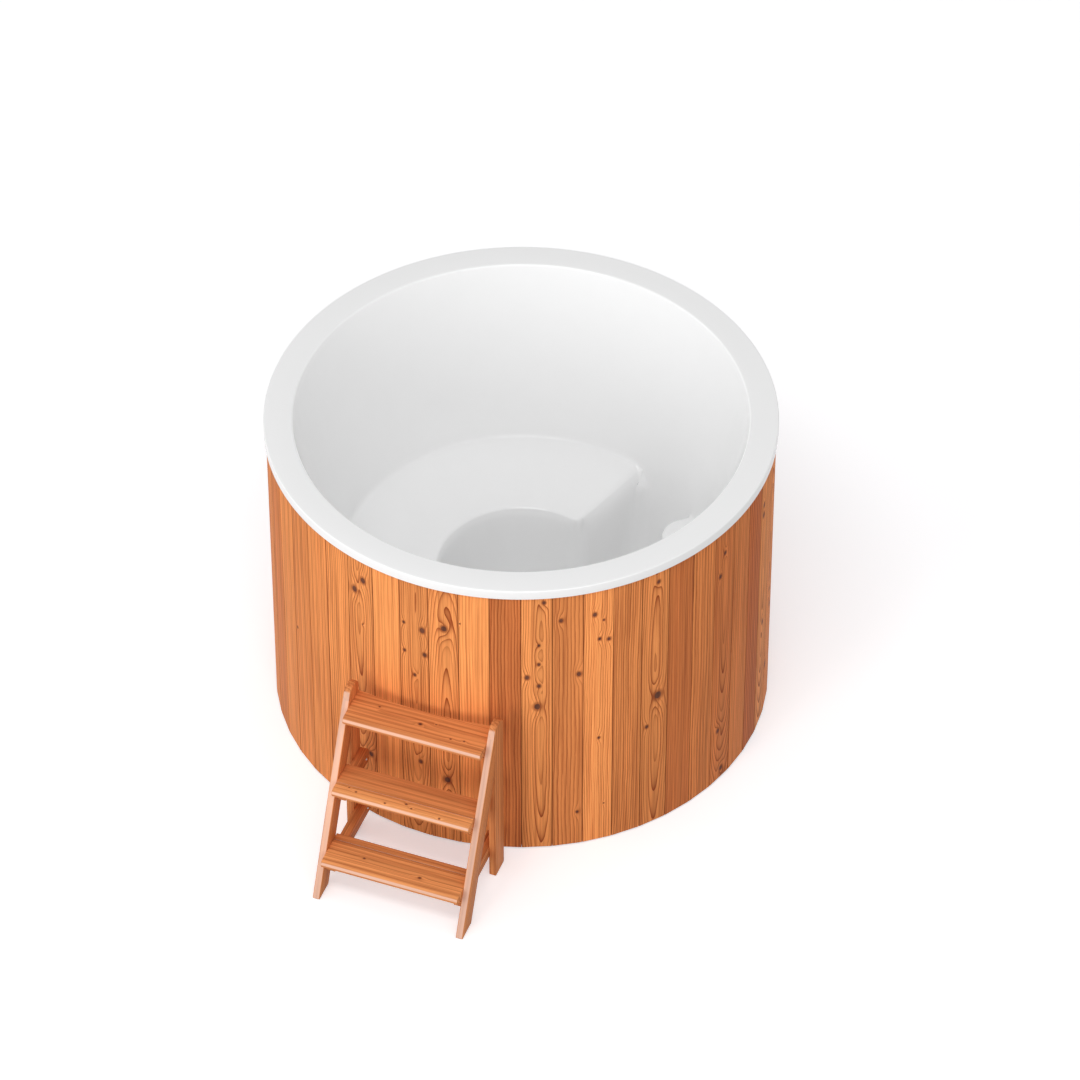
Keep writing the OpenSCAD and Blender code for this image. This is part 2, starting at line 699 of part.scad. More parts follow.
module bearer_screws() {
    color(steel) for (side = [-1, 1])
        for (b = [[tread_top - tread_t - top_cleat_h / 2, top_cleat_y],
                  [tread_mid - tread_t - bearer_h / 2, mid_bearer_y],
                  [tread_low - tread_t - bearer_h / 2, low_bearer_y]])
            for (y = bearer_screw_y(b[1]))
                translate([side * (inner_x - bearer_w), -y, b[0]]) scale([side, 1, 1])
                    wood_screw(bearer_w + 12);
}

module stringer_screws() {
    z = (foot_y - side_d * 0.5 - leg_front_y) / side_run;
    color(steel) for (side = [-1, 1]) for (d = [-18, 18])
        translate([side * (side_x - side_t / 2), -leg_back_y, z + d]) rotate([0, 0, -90])
            wood_screw(leg_d + 18);
}

liner();
rim_tape();
staves_front_right();
staves_rear_right();
staves_rear_left();
staves_front_left();
top_ring();
middle_ring();
lower_ring();
upper_posts();
lower_posts();
base_plate();
base_joists();
base_pads();
bench_props();
insulation();
strainer_rim();
strainer_grate();
strainer_screw();
drain_gasket();
drain_tail();
drain_locknut();
drain_elbow();
drain_pipe();
pipe_clips();
pipe_clip_screws();
wall_plate();
valve_body();
valve_ball();
valve_stem();
valve_lever();
lever_grip();
lever_nut();
hose_tail();
stringer_left();
stringer_right();
rear_leg_left();
rear_leg_right();
upper_tread();
middle_tread_front();
middle_tread_back();
lower_tread_front();
lower_tread_back();
upper_cleat_left();
upper_cleat_right();
middle_bearer_left();
middle_bearer_right();
lower_bearer_left();
lower_bearer_right();
bearer_screws();
stringer_screws();
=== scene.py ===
"""Cold plunge tub: a moulded white liner in a round cladding of staves, with its drain and entry ladder."""

import math

import bpy
import numpy as np
from bpy.props import FloatProperty, FloatVectorProperty, IntProperty, PointerProperty
from bpy.types import Operator, Panel, PropertyGroup
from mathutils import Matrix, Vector


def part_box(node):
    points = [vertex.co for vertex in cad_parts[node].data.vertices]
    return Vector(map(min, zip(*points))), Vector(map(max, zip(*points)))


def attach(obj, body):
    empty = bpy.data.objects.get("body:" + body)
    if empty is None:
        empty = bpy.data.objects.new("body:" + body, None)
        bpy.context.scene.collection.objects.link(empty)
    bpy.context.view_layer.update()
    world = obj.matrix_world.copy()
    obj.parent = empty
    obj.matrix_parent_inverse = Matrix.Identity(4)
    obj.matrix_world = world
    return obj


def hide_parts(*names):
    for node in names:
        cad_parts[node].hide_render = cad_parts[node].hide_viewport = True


bl_info = {
    "name": "Cold Plunge Tub",
    "version": (1, 0, 0),
    "blender": (4, 5, 0),
    "location": "3D View > Sidebar > Plunge Tub",
    "description": "Dresses a round stave-clad plunge tub, its drain and its entry ladder",
    "category": "Object",
}

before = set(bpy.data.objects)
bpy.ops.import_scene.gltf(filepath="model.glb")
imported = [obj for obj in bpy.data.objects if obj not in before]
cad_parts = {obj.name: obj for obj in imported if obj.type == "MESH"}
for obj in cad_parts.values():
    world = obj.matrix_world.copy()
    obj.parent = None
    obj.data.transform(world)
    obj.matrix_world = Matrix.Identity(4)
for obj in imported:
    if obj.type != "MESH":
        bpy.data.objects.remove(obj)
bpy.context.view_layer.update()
MM = 0.001
LINER_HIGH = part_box("liner")[1]
STAVE_LOW, STAVE_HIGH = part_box("staves_rear_right")
DRAIN_X = sum(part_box("strainer_rim")[i].x for i in (0, 1)) / 2


# Sizes and colours


def length(label, says, default):
    """A property that holds a length in metres."""
    return FloatProperty(name=label, description=says, default=default, unit="LENGTH", precision=4)


def angle(label, says, degrees):
    """A property that holds an angle, given in degrees."""
    return FloatProperty(name=label, description=says, default=math.radians(degrees), unit="ROTATION")


def number(label, says, default):
    """A property that holds a plain number."""
    return FloatProperty(name=label, description=says, default=default)


def colour(label, says, default):
    """A property that holds a colour in linear light."""
    return FloatVectorProperty(name=label, description=says, default=default, subtype="COLOR", min=0, max=1)


class LinerSettings(PropertyGroup):
    """Sizes and colour of the moulded liner."""

    rim_inner: length("Rim inner radius", "Radius of the rim's inner edge", 0.670)
    wall_foot: length("Wall foot radius", "Radius of the sloping wall at bench height", 0.541)
    bench_z: length("Bench height", "Height of the bench where it meets the wall", 0.476)
    bench_fall: length("Bench fall", "Fall of the bench from the wall to its inner edge", 0.034)
    well_r: length("Well radius", "Radius of the foot well at the bench's inner edge", 0.251)
    floor_z: length("Floor height", "Height of the foot well's floor", 0.096)
    bay_rise: length("Bay rise", "Height of the bay's floor above the foot well's", 0.002)
    bay_dir: angle("Bay direction", "Direction of the middle of the bay from +X", 20.7)
    bay_half: angle("Bay half angle", "Half angle of the open bay cut through the bench", 47)
    step_half: angle("Step half angle", "Half angle of the entry step", 20)
    step_in: length("Step face", "Distance from the tub's axis to the entry step's face", 0.420)
    draft: number("Draft", "Lean of the upright faces, run over rise", 0.07)
    shell: length("Shell", "Thickness of the moulded shell", 0.008)
    bench_edge: length("Bench edge", "Radius along the edges of the bench and the step", 0.014)
    end_edge: length("End edge", "Radius along the top of the bench's two ends", 0.036)
    bench_corner: length("Bench corner", "Radius in plan of the bench's ends", 0.034)
    step_corner: length("Step corner", "Radius in plan of the entry step's corners", 0.075)
    bench_fillet: length("Bench fillet", "Hollow radius between the bench and the wall", 0.010)
    end_fillet: length("End fillet", "Hollow radius between the bench's ends and the wall", 0.050)
    floor_fillet: length("Floor fillet", "Hollow radius round the floor", 0.022)
    rim_edge: length("Rim edge", "Radius of the rim's inner edge", 0.007)
    lip_edge: length("Lip edge", "Radius of the rim's outer edge", 0.0045)
    lip_h: length("Lip height", "Height of the rim's down-turned lip", 0.031)
    rim_thick: length("Rim thickness", "Thickness of the rim's flat top", 0.006)
    lip_in: length("Lip inside radius", "Radius of the lip's inside, just clear of the staves", 0.751)
    drain_hole: length("Drain hole", "Radius of the drain hole in the foot well's floor", 0.0197)
    tone: colour("Acrylic", "Colour of the moulded acrylic", (0.96, 0.96, 0.96))


class CladdingSettings(PropertyGroup):
    """Sizes and colours of the stave cladding."""

    staves: IntProperty(name="Staves", description="Number of staves round the tub", default=52)
    radius: length("Radius", "Radius of the stave corners", 0.75)
    thick: length("Thickness", "Thickness of the staves", 0.028)
    gap: length("Joint gap", "Gap between neighbouring staves", 0.0008)
    edge: length("Edge", "Radius of the staves' outer edges", 0.0022)
    pale: colour("Pale wood", "Early wood between the rings", (0.97, 0.368, 0.115))
    dark: colour("Dark wood", "Late wood of the rings", (0.31, 0.062, 0.016))


class LadderSettings(PropertyGroup):
    """Sizes and colours of the ladder's boards."""

    edge: length("Edge", "Radius of the boards' edges", 0.0026)
    foot_depth: length("Foot depth", "Level depth of each sloping side board", 0.073)
    back_arc: length("Back arc", "Radius of the upper tread's hollow back edge", 1.4)
    tip: length("Tip", "Height by which each side board stops blunt below its joint with the rear leg", 0.014)
    leg_round: length("Leg rounding", "Radius of the rear legs' tops", 0.0285)
    tread_edge: length("Tread edge", "Radius of the treads' long edges", 0.001)
    tread_end: length("Tread end", "Radius round the treads' ends", 0.0012)
    bearer_edge: length("Bearer edge", "Radius of the edges of bearers and cleats", 0.0015)
    pale: colour("Pale wood", "Early wood between the rings", (0.84, 0.345, 0.120))
    dark: colour("Dark wood", "Late wood of the rings", (0.27, 0.058, 0.017))


class StageSettings(PropertyGroup):
    """Camera and light."""

    focal: number("Focal length", "Focal length of the camera in millimetres", 194.49)
    distance: length("Distance", "Distance from the camera to the point that it looks at", 17.434)
    heading: angle("Heading", "Direction from the tub to the camera, from -Y towards +X", 20.7225)
    rise: angle("Rise", "Height of the camera above the level, as an angle", 43.27)
    aim: FloatVectorProperty(
        name="Aim", description="Point that the camera looks at", default=(0.05153, 0.0195, 0.5469),
        subtype="XYZ",
    )
    ambient: number("Ambient", "Strength of the even light from all round", 0.43)
    key: number("Key", "Strength of the soft light from the front left", 0.76)
    fill: number("Fill", "Strength of the soft light from the front right", 0.80)
    back: number("Back", "Strength of the soft low light from behind", 0.34)
    panel: number("Panel", "Power in watts of the broad lamp above the front", 328)
    strip: number("Strip", "Power in watts of the tall lamp in front of the ladder", 140)
    floor: number("Floor", "Share of the light that the floor gives back", 0.50)
    seen_floor: number("Seen floor", "The same share where the floor is in view", 0.90)
    glow: number("Glow", "Light that the seen floor adds, so that it shows as plain white", 0.405)


def settings(part):
    """The settings of one part of the tub."""
    return getattr(bpy.context.scene.plunge_tub, part)


class TubSettings(PropertyGroup):
    """The settings of every part."""

    liner: PointerProperty(type=LinerSettings)
    cladding: PointerProperty(type=CladdingSettings)
    ladder: PointerProperty(type=LadderSettings)
    stage: PointerProperty(type=StageSettings)


# Outlines, grids and meshes


def unit(v):
    """v scaled to length one along its last axis."""
    return v / np.linalg.norm(v, axis=-1, keepdims=True)


def rounded(corners, radii, steps=5):
    """A closed outline with an arc at each corner. The arc touches both sides at the radius over the tangent
    of half the corner's angle."""
    corners = np.asarray(corners, float)
    radii = np.broadcast_to(radii, len(corners))
    points = []
    for i, r in enumerate(radii):
        p, a, b = corners[i], corners[i - 1], corners[(i + 1) % len(corners)]
        if r <= 0:
            points.append(p[None])
            continue
        u, v = unit(a - p), unit(b - p)
        half = math.acos(np.clip(u @ v, -1, 1)) / 2
        reach = r / math.tan(half)
        centre = p + unit(u + v) * r / math.sin(half)
        start, end = p + u * reach - centre, p + v * reach - centre
        turn = math.pi - 2 * half
        t = np.linspace(0, 1, steps)[:, None]
        points.append(centre + (start * np.sin((1 - t) * turn) + end * np.sin(t * turn)) / math.sin(turn))
    return np.concatenate(points)


def inward(outline):
    """For each point of an anticlockwise outline, the move that draws both its sides in by one: the sum of
    their inward normals over one plus the normals' dot product."""
    def normal(edge):
        """Direction to the left of each side."""
        return unit(np.stack([-edge[:, 1], edge[:, 0]], 1))

    before = normal(outline - np.roll(outline, 1, 0))
    after = normal(np.roll(outline, -1, 0) - outline)
    return (before + after) / (1 + (before * after).sum(1, keepdims=True))


def eased(low, high, r, between, steps=4):
    """Levels from low to high and the inset at each: a quarter circle of radius r at both ends, and between
    them some more levels with none."""
    a = np.linspace(0, math.pi / 2, steps)
    rise, inset = r * (1 - np.cos(a)), r * (1 - np.sin(a))
    middle = np.linspace(low + r, high - r, between + 2)[1:-1]
    levels = np.concatenate([low + rise, middle, high - rise[::-1]])
    return levels, np.concatenate([inset, np.zeros(between), inset[::-1]])


def grid_faces(rows, cols, close_rows=False):
    """Quads that join neighbouring points of a grid whose rows are rings. Where asked, the last row is joined
    to the first."""
    i, j = np.meshgrid(np.arange(rows if close_rows else rows - 1), np.arange(cols), indexing="ij")
    i, j = i.ravel(), j.ravel()
    k, m = (i + 1) % rows, (j + 1) % cols
    return np.stack([i * cols + j, i * cols + m, k * cols + m, k * cols + j], 1)


class Solid:
    """Points, faces and per-point marks of one closed piece."""

    def __init__(self, points, faces, **marks):
        self.points = np.asarray(points, float).reshape(-1, 3)
        self.faces = faces
        self.marks = {k: np.broadcast_to(v, self.points.shape) for k, v in marks.items()}


def carried(outline, low, high, edge, place, between=0):
    """A closed outline carried from low to high with both rims eased by edge. place turns outline and level
    into points in space."""
    levels, insets = eased(low, high, edge, between)
    flat = outline[None] + inward(outline)[None] * insets[:, None, None]
    level = np.broadcast_to(levels[:, None], flat.shape[:2])
    rows, cols = level.shape
    faces = grid_faces(rows, cols).tolist()
    last = (rows - 1) * cols
    faces += [list(range(cols - 1, -1, -1)), list(range(last, last + cols))]
    return Solid(place(flat[..., 0], flat[..., 1], level), faces)


def make_piece(name, solids, finish, body, replaced, sharp=40):
    """Joins solids into one mesh object, gives it its finish, and puts it on its body in place of its nodes
    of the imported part. Edges that turn by more than sharp degrees stay sharp."""
    offset, points, faces = 0, [], []
    for s in solids:
        points.append(s.points)
        faces += [[offset + i for i in f] for f in s.faces]
        offset += len(s.points)
    mesh = bpy.data.meshes.new(name)
    mesh.from_pydata(np.concatenate(points).tolist(), [], faces)
    for key in solids[0].marks:
        values = np.concatenate([s.marks[key] for s in solids]).astype(np.float32)
        mesh.attributes.new(key, "FLOAT_VECTOR", "POINT").data.foreach_set("vector", values.ravel())
    mesh.validate()
    mesh.shade_smooth()
    mesh.set_sharp_from_angle(angle=math.radians(sharp))
    mesh.materials.append(finish)
    piece = bpy.data.objects.new(name, mesh)
    bpy.context.scene.collection.objects.link(piece)
    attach(piece, body)
    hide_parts(*replaced)


# Materials


class Value:
    """One socket of a material; arithmetic on it adds Math nodes."""

    def __init__(self, finish, socket):
        self.finish, self.socket = finish, socket

    def _math(self, how, *values):
        """The result of a Math node on values or numbers."""
        return self.finish.node("Math", {"operation": how}, dict(enumerate(values)))

    def __add__(self, other):
        return self._math("ADD", self, other)

    def __sub__(self, other):
        return self._math("SUBTRACT", self, other)

    def __rsub__(self, other):
        return self._math("SUBTRACT", other, self)

    def __mul__(self, other):
        return self._math("MULTIPLY", self, other)

    def __truediv__(self, other):
        return self._math("DIVIDE", self, other)

    def __pow__(self, other):
        return self._math("POWER", self, other)

    __radd__ = __add__
    __rmul__ = __mul__

    def do(self, how, *others):
        """Any other operation of the Math node."""
        return self._math(how, self, *others)


class Finish:
    """Builds the nodes of one material, or of the world."""

    def __init__(self, name, library=None):
        self.owner = (bpy.data.materials if library is None else library).new(name)
        self.owner.use_nodes = True
        self.tree = self.owner.node_tree
        self.tree.nodes.clear()

    def node(self, kind, options=None, sockets=None, out=0):
        """Adds a node: its settings first, then the value or link of each socket."""
        made = self.tree.nodes.new("ShaderNode" + kind)
        for key, value in (options or {}).items():
            setattr(made, key, value)
        for key, value in (sockets or {}).items():
            if isinstance(value, Value):
                self.tree.links.new(value.socket, made.inputs[key])
            else:
                made.inputs[key].default_value = value
        return Value(self, made.outputs[out])

    def parts(self, vector):
        """The three numbers of a vector."""
        first = self.node("SeparateXYZ", {}, {0: vector})
        return [Value(self, s) for s in first.socket.node.outputs]

    def vector(self, x, y, z):
        """A vector from three numbers."""
        return self.node("CombineXYZ", {}, {0: x, 1: y, 2: z})

    def mark(self, name):
        """A per-point mark of the mesh, as its three numbers."""
        return self.parts(self.node("Attribute", {"attribute_name": name}, out=1))

    def place(self):
        """Place on the object, in metres."""
        return self.node("TexCoord", out=3)

    def noise(self, vector, scale, detail=2.0, rough=0.5):
        """Smooth noise from 0 to 1."""
        sockets = {"Vector": vector, "Scale": scale, "Detail": detail, "Roughness": rough}
        return self.node("TexNoise", {}, sockets)

    def grain_noise(self, grain, close, long, detail=2.0, rough=0.5):
        """Noise drawn out along a board: close is its scale over the section, long its scale along it."""
        across, depth, along = grain
        return self.noise(self.vector(across * close, depth * close, along * long), 1.0, detail, rough)

    def ease(self, value, low, high):
        """Smooth step from 0 where a value is at low to 1 where it is at high."""
        sockets = {"Value": value, "From Min": low, "From Max": high}
        return self.node("MapRange", {"interpolation_type": "SMOOTHSTEP"}, sockets)

    def mix(self, share, a, b):
        """Colour a turned towards colour b by a share."""
        a, b = ((*c, 1) if isinstance(c, (tuple, list)) else c for c in (a, b))
        return self.node("Mix", {"data_type": "RGBA"}, {0: share, 6: a, 7: b}, out=2)

    def bump(self, height, depth, strength=1.0):
        """Normal of a surface that a height shades."""
        return self.node("Bump", {}, {"Height": height, "Distance": depth, "Strength": strength})

    def surface(self, **sockets):
        """Ends the material in a Principled shader and gives the material."""
        named = {k.replace("_", " "): v for k, v in sockets.items()}
        named = {k: (*v, 1) if isinstance(v, tuple) and len(v) == 3 else v for k, v in named.items()}
        return self.end(self.node("BsdfPrincipled", {}, named))

    def end(self, shader, kind="Material"):
        """Joins a shader to the output and gives the material or world."""
        output = self.tree.nodes.new("ShaderNodeOutput" + kind)
        self.tree.links.new(shader.socket, output.inputs["Surface"])
        return self.owner


KNOT_MARKS = tuple(f"knot_{i}" for i in range(1, 7))
KNOT_HALO = (0.32, 0.080, 0.026)
KNOT_CORE = ((0.17, 0.062, 0.038), (0.055, 0.027, 0.021))
# How fast a knot's turn of the rings dies away across and along, and how many rings it adds per metre of
# the knot's radius
KNOT_FADE, KNOT_TURN = (0.16, 0.03), 260
# Distances from a knot's middle, in its own radii, between which its core and its halo fade out
CORE_EDGE, HALO_EDGE = (1.05, 0.88), (2.1, 1.1)
# Dark colour painted along each stave's edge: painted shade of the gap in the joint
JOINT_PAINTED_SHADE = (0.15, 0.040, 0.012)
SEAM_WIDTH = 0.0012
# Pale rosy colour painted on faces turned to the front and up: a painted sheen that stands in for the
# reflection of the lamps in front
SHEEN_PAINT = (0.86, 0.57, 0.45)
# Facing of the ladder's sloping front edges, which get the painted sheen: how far forward, and how far up
SHEEN_FACING = (0.906, 0.423)
# How far a board's rings wander across it and behind its face, and their quick ripple, in metres
WANDER_ACROSS, WANDER_BEHIND, RIPPLE = 0.026, 0.016, 0.0022


def annual_rings(grain, pith, sawn, slow, quick):
    """Number of the annual ring at each point: its distance from the pith line over the width of a ring."""
    across, depth, along = grain
    pith_across, pith_depth, apex = pith
    bow, ring, _ = sawn
    side = across - pith_across + slow * WANDER_ACROSS + quick * RIPPLE
    off = along - apex
    behind = depth + pith_depth + off * off * bow + slow * WANDER_BEHIND
    return (side * side + behind * behind) ** 0.5 / ring


def round_knots(f, rings, across, along, quick):
    """The rings turned aside round every knot, and the shares of the knots' dark cores and of their halos.
    The turn falls off as e to the minus weighted square of the distance in the knot's radii."""
    core = halo = None
    for mark in KNOT_MARKS:
        knot_across, knot_along, size = f.mark(mark)
        u, v = (across - knot_across) / size, (along - knot_along) / size
        flow = (u * u * KNOT_FADE[0] + v * v * KNOT_FADE[1]) * -1.0
        rings = rings + flow.do("EXPONENT") * size * KNOT_TURN
        near = (u * u + v * v * 0.6) ** 0.5 + quick * 0.9
        inside, beside = f.ease(near, *CORE_EDGE), f.ease(near, *HALO_EDGE)
        core = core.do("MAXIMUM", inside) if core else inside
        halo = halo.do("MAXIMUM", beside) if halo else beside
    return rings, core, halo


def wood(name, s, rough, shine, seam=1.0, painted_sheen=0.0):
    """Softwood sawn from a log: the rings are the distance from a pith line behind the board's face, which
    bows away from it above and below the apex, and they flow round each knot. Past the seam, across from the
    board's middle, its edge is darkened with painted shade for the joint's gap. Faces turned to the front and
    up are painted pale by a share, a painted sheen in place of the front lamps' reflection."""
    pale, dark = tuple(s.pale), tuple(s.dark)
    f = Finish(name)
    grain, pith, sawn, tone = (f.mark(mark) for mark in ("grain", "pith", "sawn", "tone"))
    across, _, along = grain
    light, red, _ = tone
    slow = f.grain_noise(grain, 4, 1.8) - 0.5
    quick = f.grain_noise(grain, 45, 12, 2, 0.55) - 0.5
    fibre = f.grain_noise(grain, 900, 14, 3, 0.6)
    streak = f.grain_noise(grain, 130, 1.7, 3, 0.65)
    band = f.grain_noise(grain, 30, 1.1)

    rings = annual_rings(grain, pith, sawn, slow, quick)
    rings, core, halo = round_knots(f, rings, across, along, quick)
    rings = rings + quick * 0.3
    # Late wood darkens towards the end of a year's ring, more in some years than in others
    year = f.node("TexWhiteNoise", {"noise_dimensions": "1D"}, {"W": rings.do("FLOOR")})
    in_year = rings.do("FRACT")
    late = in_year ** 3.4 * f.ease(in_year, 1.0, 0.95) * (0.55 + year * 0.85) * sawn[2]

    # Streaks of a deeper and a rosier tone, then the rings, the fibres, the knots and the painted shade in
    # the joint
    flesh = tuple(0.55 * d + 0.45 * p for d, p in zip(dark, pale))
    rosy = tuple(v * share for v, share in zip(pale, (0.74, 0.48, 0.44)))
    shade = f.mix(f.ease(streak, 0.42, 0.66) * 0.85, pale, flesh)
    shade = f.mix(red, shade, f.mix(f.ease(streak, 0.35, 0.65) * 0.45, rosy, dark))
    shade = f.mix(late.do("MINIMUM", 1.0), shade, dark)
    shade = f.mix(f.ease(fibre, 0.5, 0.8) * 0.25, shade, dark)
    shade = f.mix(halo * 0.75, shade, KNOT_HALO)
    shade = f.mix(core * 0.92, shade, f.mix(f.ease(quick, -0.25, 0.25), *KNOT_CORE))
    # Painted shade: the edge past the seam is darkened where the joint's gap would lie in shade
    shade = f.mix(f.ease(across.do("ABSOLUTE"), seam - SEAM_WIDTH, seam) * 0.55, shade, JOINT_PAINTED_SHADE)
    # Painted sheen: faces turned to the front lamps are painted pale, in place of their reflection
    if painted_sheen:
        _, facing_y, facing_z = f.parts(f.node("NewGeometry", out=1))
        front = facing_y * -SHEEN_FACING[0] + facing_z * SHEEN_FACING[1]
        shade = f.mix(f.ease(front, 0.91, 0.985) * painted_sheen * (0.75 + streak * 0.5), shade, SHEEN_PAINT)
    # Each board, and each broad band of it, has a lightness of its own
    level = light * 0.6 + (band - 0.5) * 0.62 + 1.0
    shade = f.node("VectorMath", {"operation": "SCALE"}, {0: shade, "Scale": level})
    height = late * -0.5 - f.ease(fibre, 0.4, 0.8) * 0.5 - core * 0.6
    return f.surface(
        Base_Color=shade, Roughness=rough + late * 0.08 + fibre * 0.08, Normal=f.bump(height, 0.0003, 0.7),
        Specular_IOR_Level=shine,
    )


def acrylic(tone):
    """Glossy white moulded acrylic, with the faint waviness of a thermoformed sheet."""
    f = Finish("white_acrylic")
    at = f.place()
    wave = f.noise(at, 9.0, 2, 0.5)
    fine = f.noise(at, 160.0, 2, 0.5)
    white = f.mix(wave, tuple(tone), tuple(c * 0.985 for c in tone))
    height = wave * 0.8 + fine * 0.02
    return f.surface(
        Base_Color=white, Roughness=0.15 + fine * 0.04, Normal=f.bump(height, 0.0006, 0.5),
        Specular_IOR_Level=0.5,
    )


def brushed_metal(name, tone, rough):
    """Metal with fine turning lines and a little uneven gloss."""
    f = Finish(name)
    at = f.place()
    x, y, z = f.parts(at)
    lines = f.noise(f.vector(x * 60, y * 60, z * 900), 1.0, 3, 0.6)
    smear = f.noise(at, 35.0, 2, 0.5)
    shade = f.mix(smear * 0.5, tone, tuple(c * 0.8 for c in tone))
    return f.surface(
        Base_Color=shade, Metallic=1.0, Roughness=rough + lines * 0.12 + smear * 0.06,
        Normal=f.bump(lines, 0.00005, 0.6),
    )


def moulded(name, tone, rough, grain=420.0):
    """Moulded plastic or rubber with a fine grain and slight patches of shade."""
    f = Finish(name)
    at = f.place()
    pit = f.noise(at, grain, 3, 0.6)
    patch = f.noise(at, 16.0, 2, 0.5)
    shade = f.mix(patch * 0.7, tone, tuple(c * 0.78 for c in tone))
    return f.surface(Base_Color=shade, Roughness=rough + pit * 0.12, Normal=f.bump(pit, 0.0001, 0.6))


def plywood():
    """Birch plywood: veneers 3 mm thick show on the edges, long grain on the faces."""
    f = Finish("frame_plywood")
    at = f.place()
    x, y, z = f.parts(at)
    layer = (z / (3 * MM)).do("FRACT")
    edge = f.ease(layer, 0.42, 0.5) * f.ease(layer, 0.98, 0.92)
    up = f.parts(f.node("NewGeometry", out=1))[2].do("ABSOLUTE")
    face = f.ease(up, 0.6, 0.9)
    figure = f.noise(f.vector(x * 3, y * 45, z * 3), 1.0, 4, 0.6)
    shade = f.mix(figure, (0.62, 0.45, 0.27), (0.50, 0.34, 0.19))
    shade = f.mix(edge * (1 - face) * 0.7, shade, (0.30, 0.18, 0.09))
    return f.surface(Base_Color=shade, Roughness=0.62 + figure * 0.12, Normal=f.bump(figure, 0.0003, 0.5))


def foam():
    """Pale insulation foam with open cells."""
    f = Finish("wall_foam")
    at = f.place()
    cell = f.node("TexVoronoi", {}, {"Vector": at, "Scale": 260.0})
    blotch = f.noise(at, 12.0, 3, 0.6)
    shade = f.mix(blotch, (0.78, 0.70, 0.44), (0.66, 0.56, 0.31))
    return f.surface(Base_Color=shade, Roughness=0.9, Normal=f.bump(cell, 0.0012, 0.8))


# The liner


def hollow_join(a, b, r):
    """Distance to two surfaces with a fillet of radius r in the hollow corner between them: the nearer one,
    or r where that is greater, less the hypotenuse of both shortfalls from r."""
    return np.maximum(r, np.minimum(a, b)) - np.hypot(np.maximum(r - a, 0), np.maximum(r - b, 0))


def round_edge(a, b, r):
    """Distance to the solid common to two half spaces, with its edge rounded to radius r: the farther one,
    or -r where that is less, plus the hypotenuse of both excesses over -r."""
    return np.minimum(-r, np.maximum(a, b)) + np.hypot(np.maximum(r + a, 0), np.maximum(r + b, 0))


def ramp(v, low, high):
    """Smooth step from 0 at low to 1 at high: three times the square of the way less twice its cube."""
    t = np.clip((v - low) / (high - low), 0, 1)
    return t * t * (3 - 2 * t)


# Moves that seat a point on the rounded form, and the longest of them in metres
SEATING_STEPS = 12
LONGEST_STEP = 0.006
# Width over which the floor steps up from the well to the bay
BAY_RAMP = 0.03
# Lead of an end face over the well's edge across which the bench's top edge grows to that of its ends
END_LEAD = (-0.01, 0.07)
# Way off the bench, and way below its top, over which its fillet against the wall grows to that of its ends
FILLET_OFF = (-0.012, 0.012)
FILLET_BELOW = (0.004, 0.06)


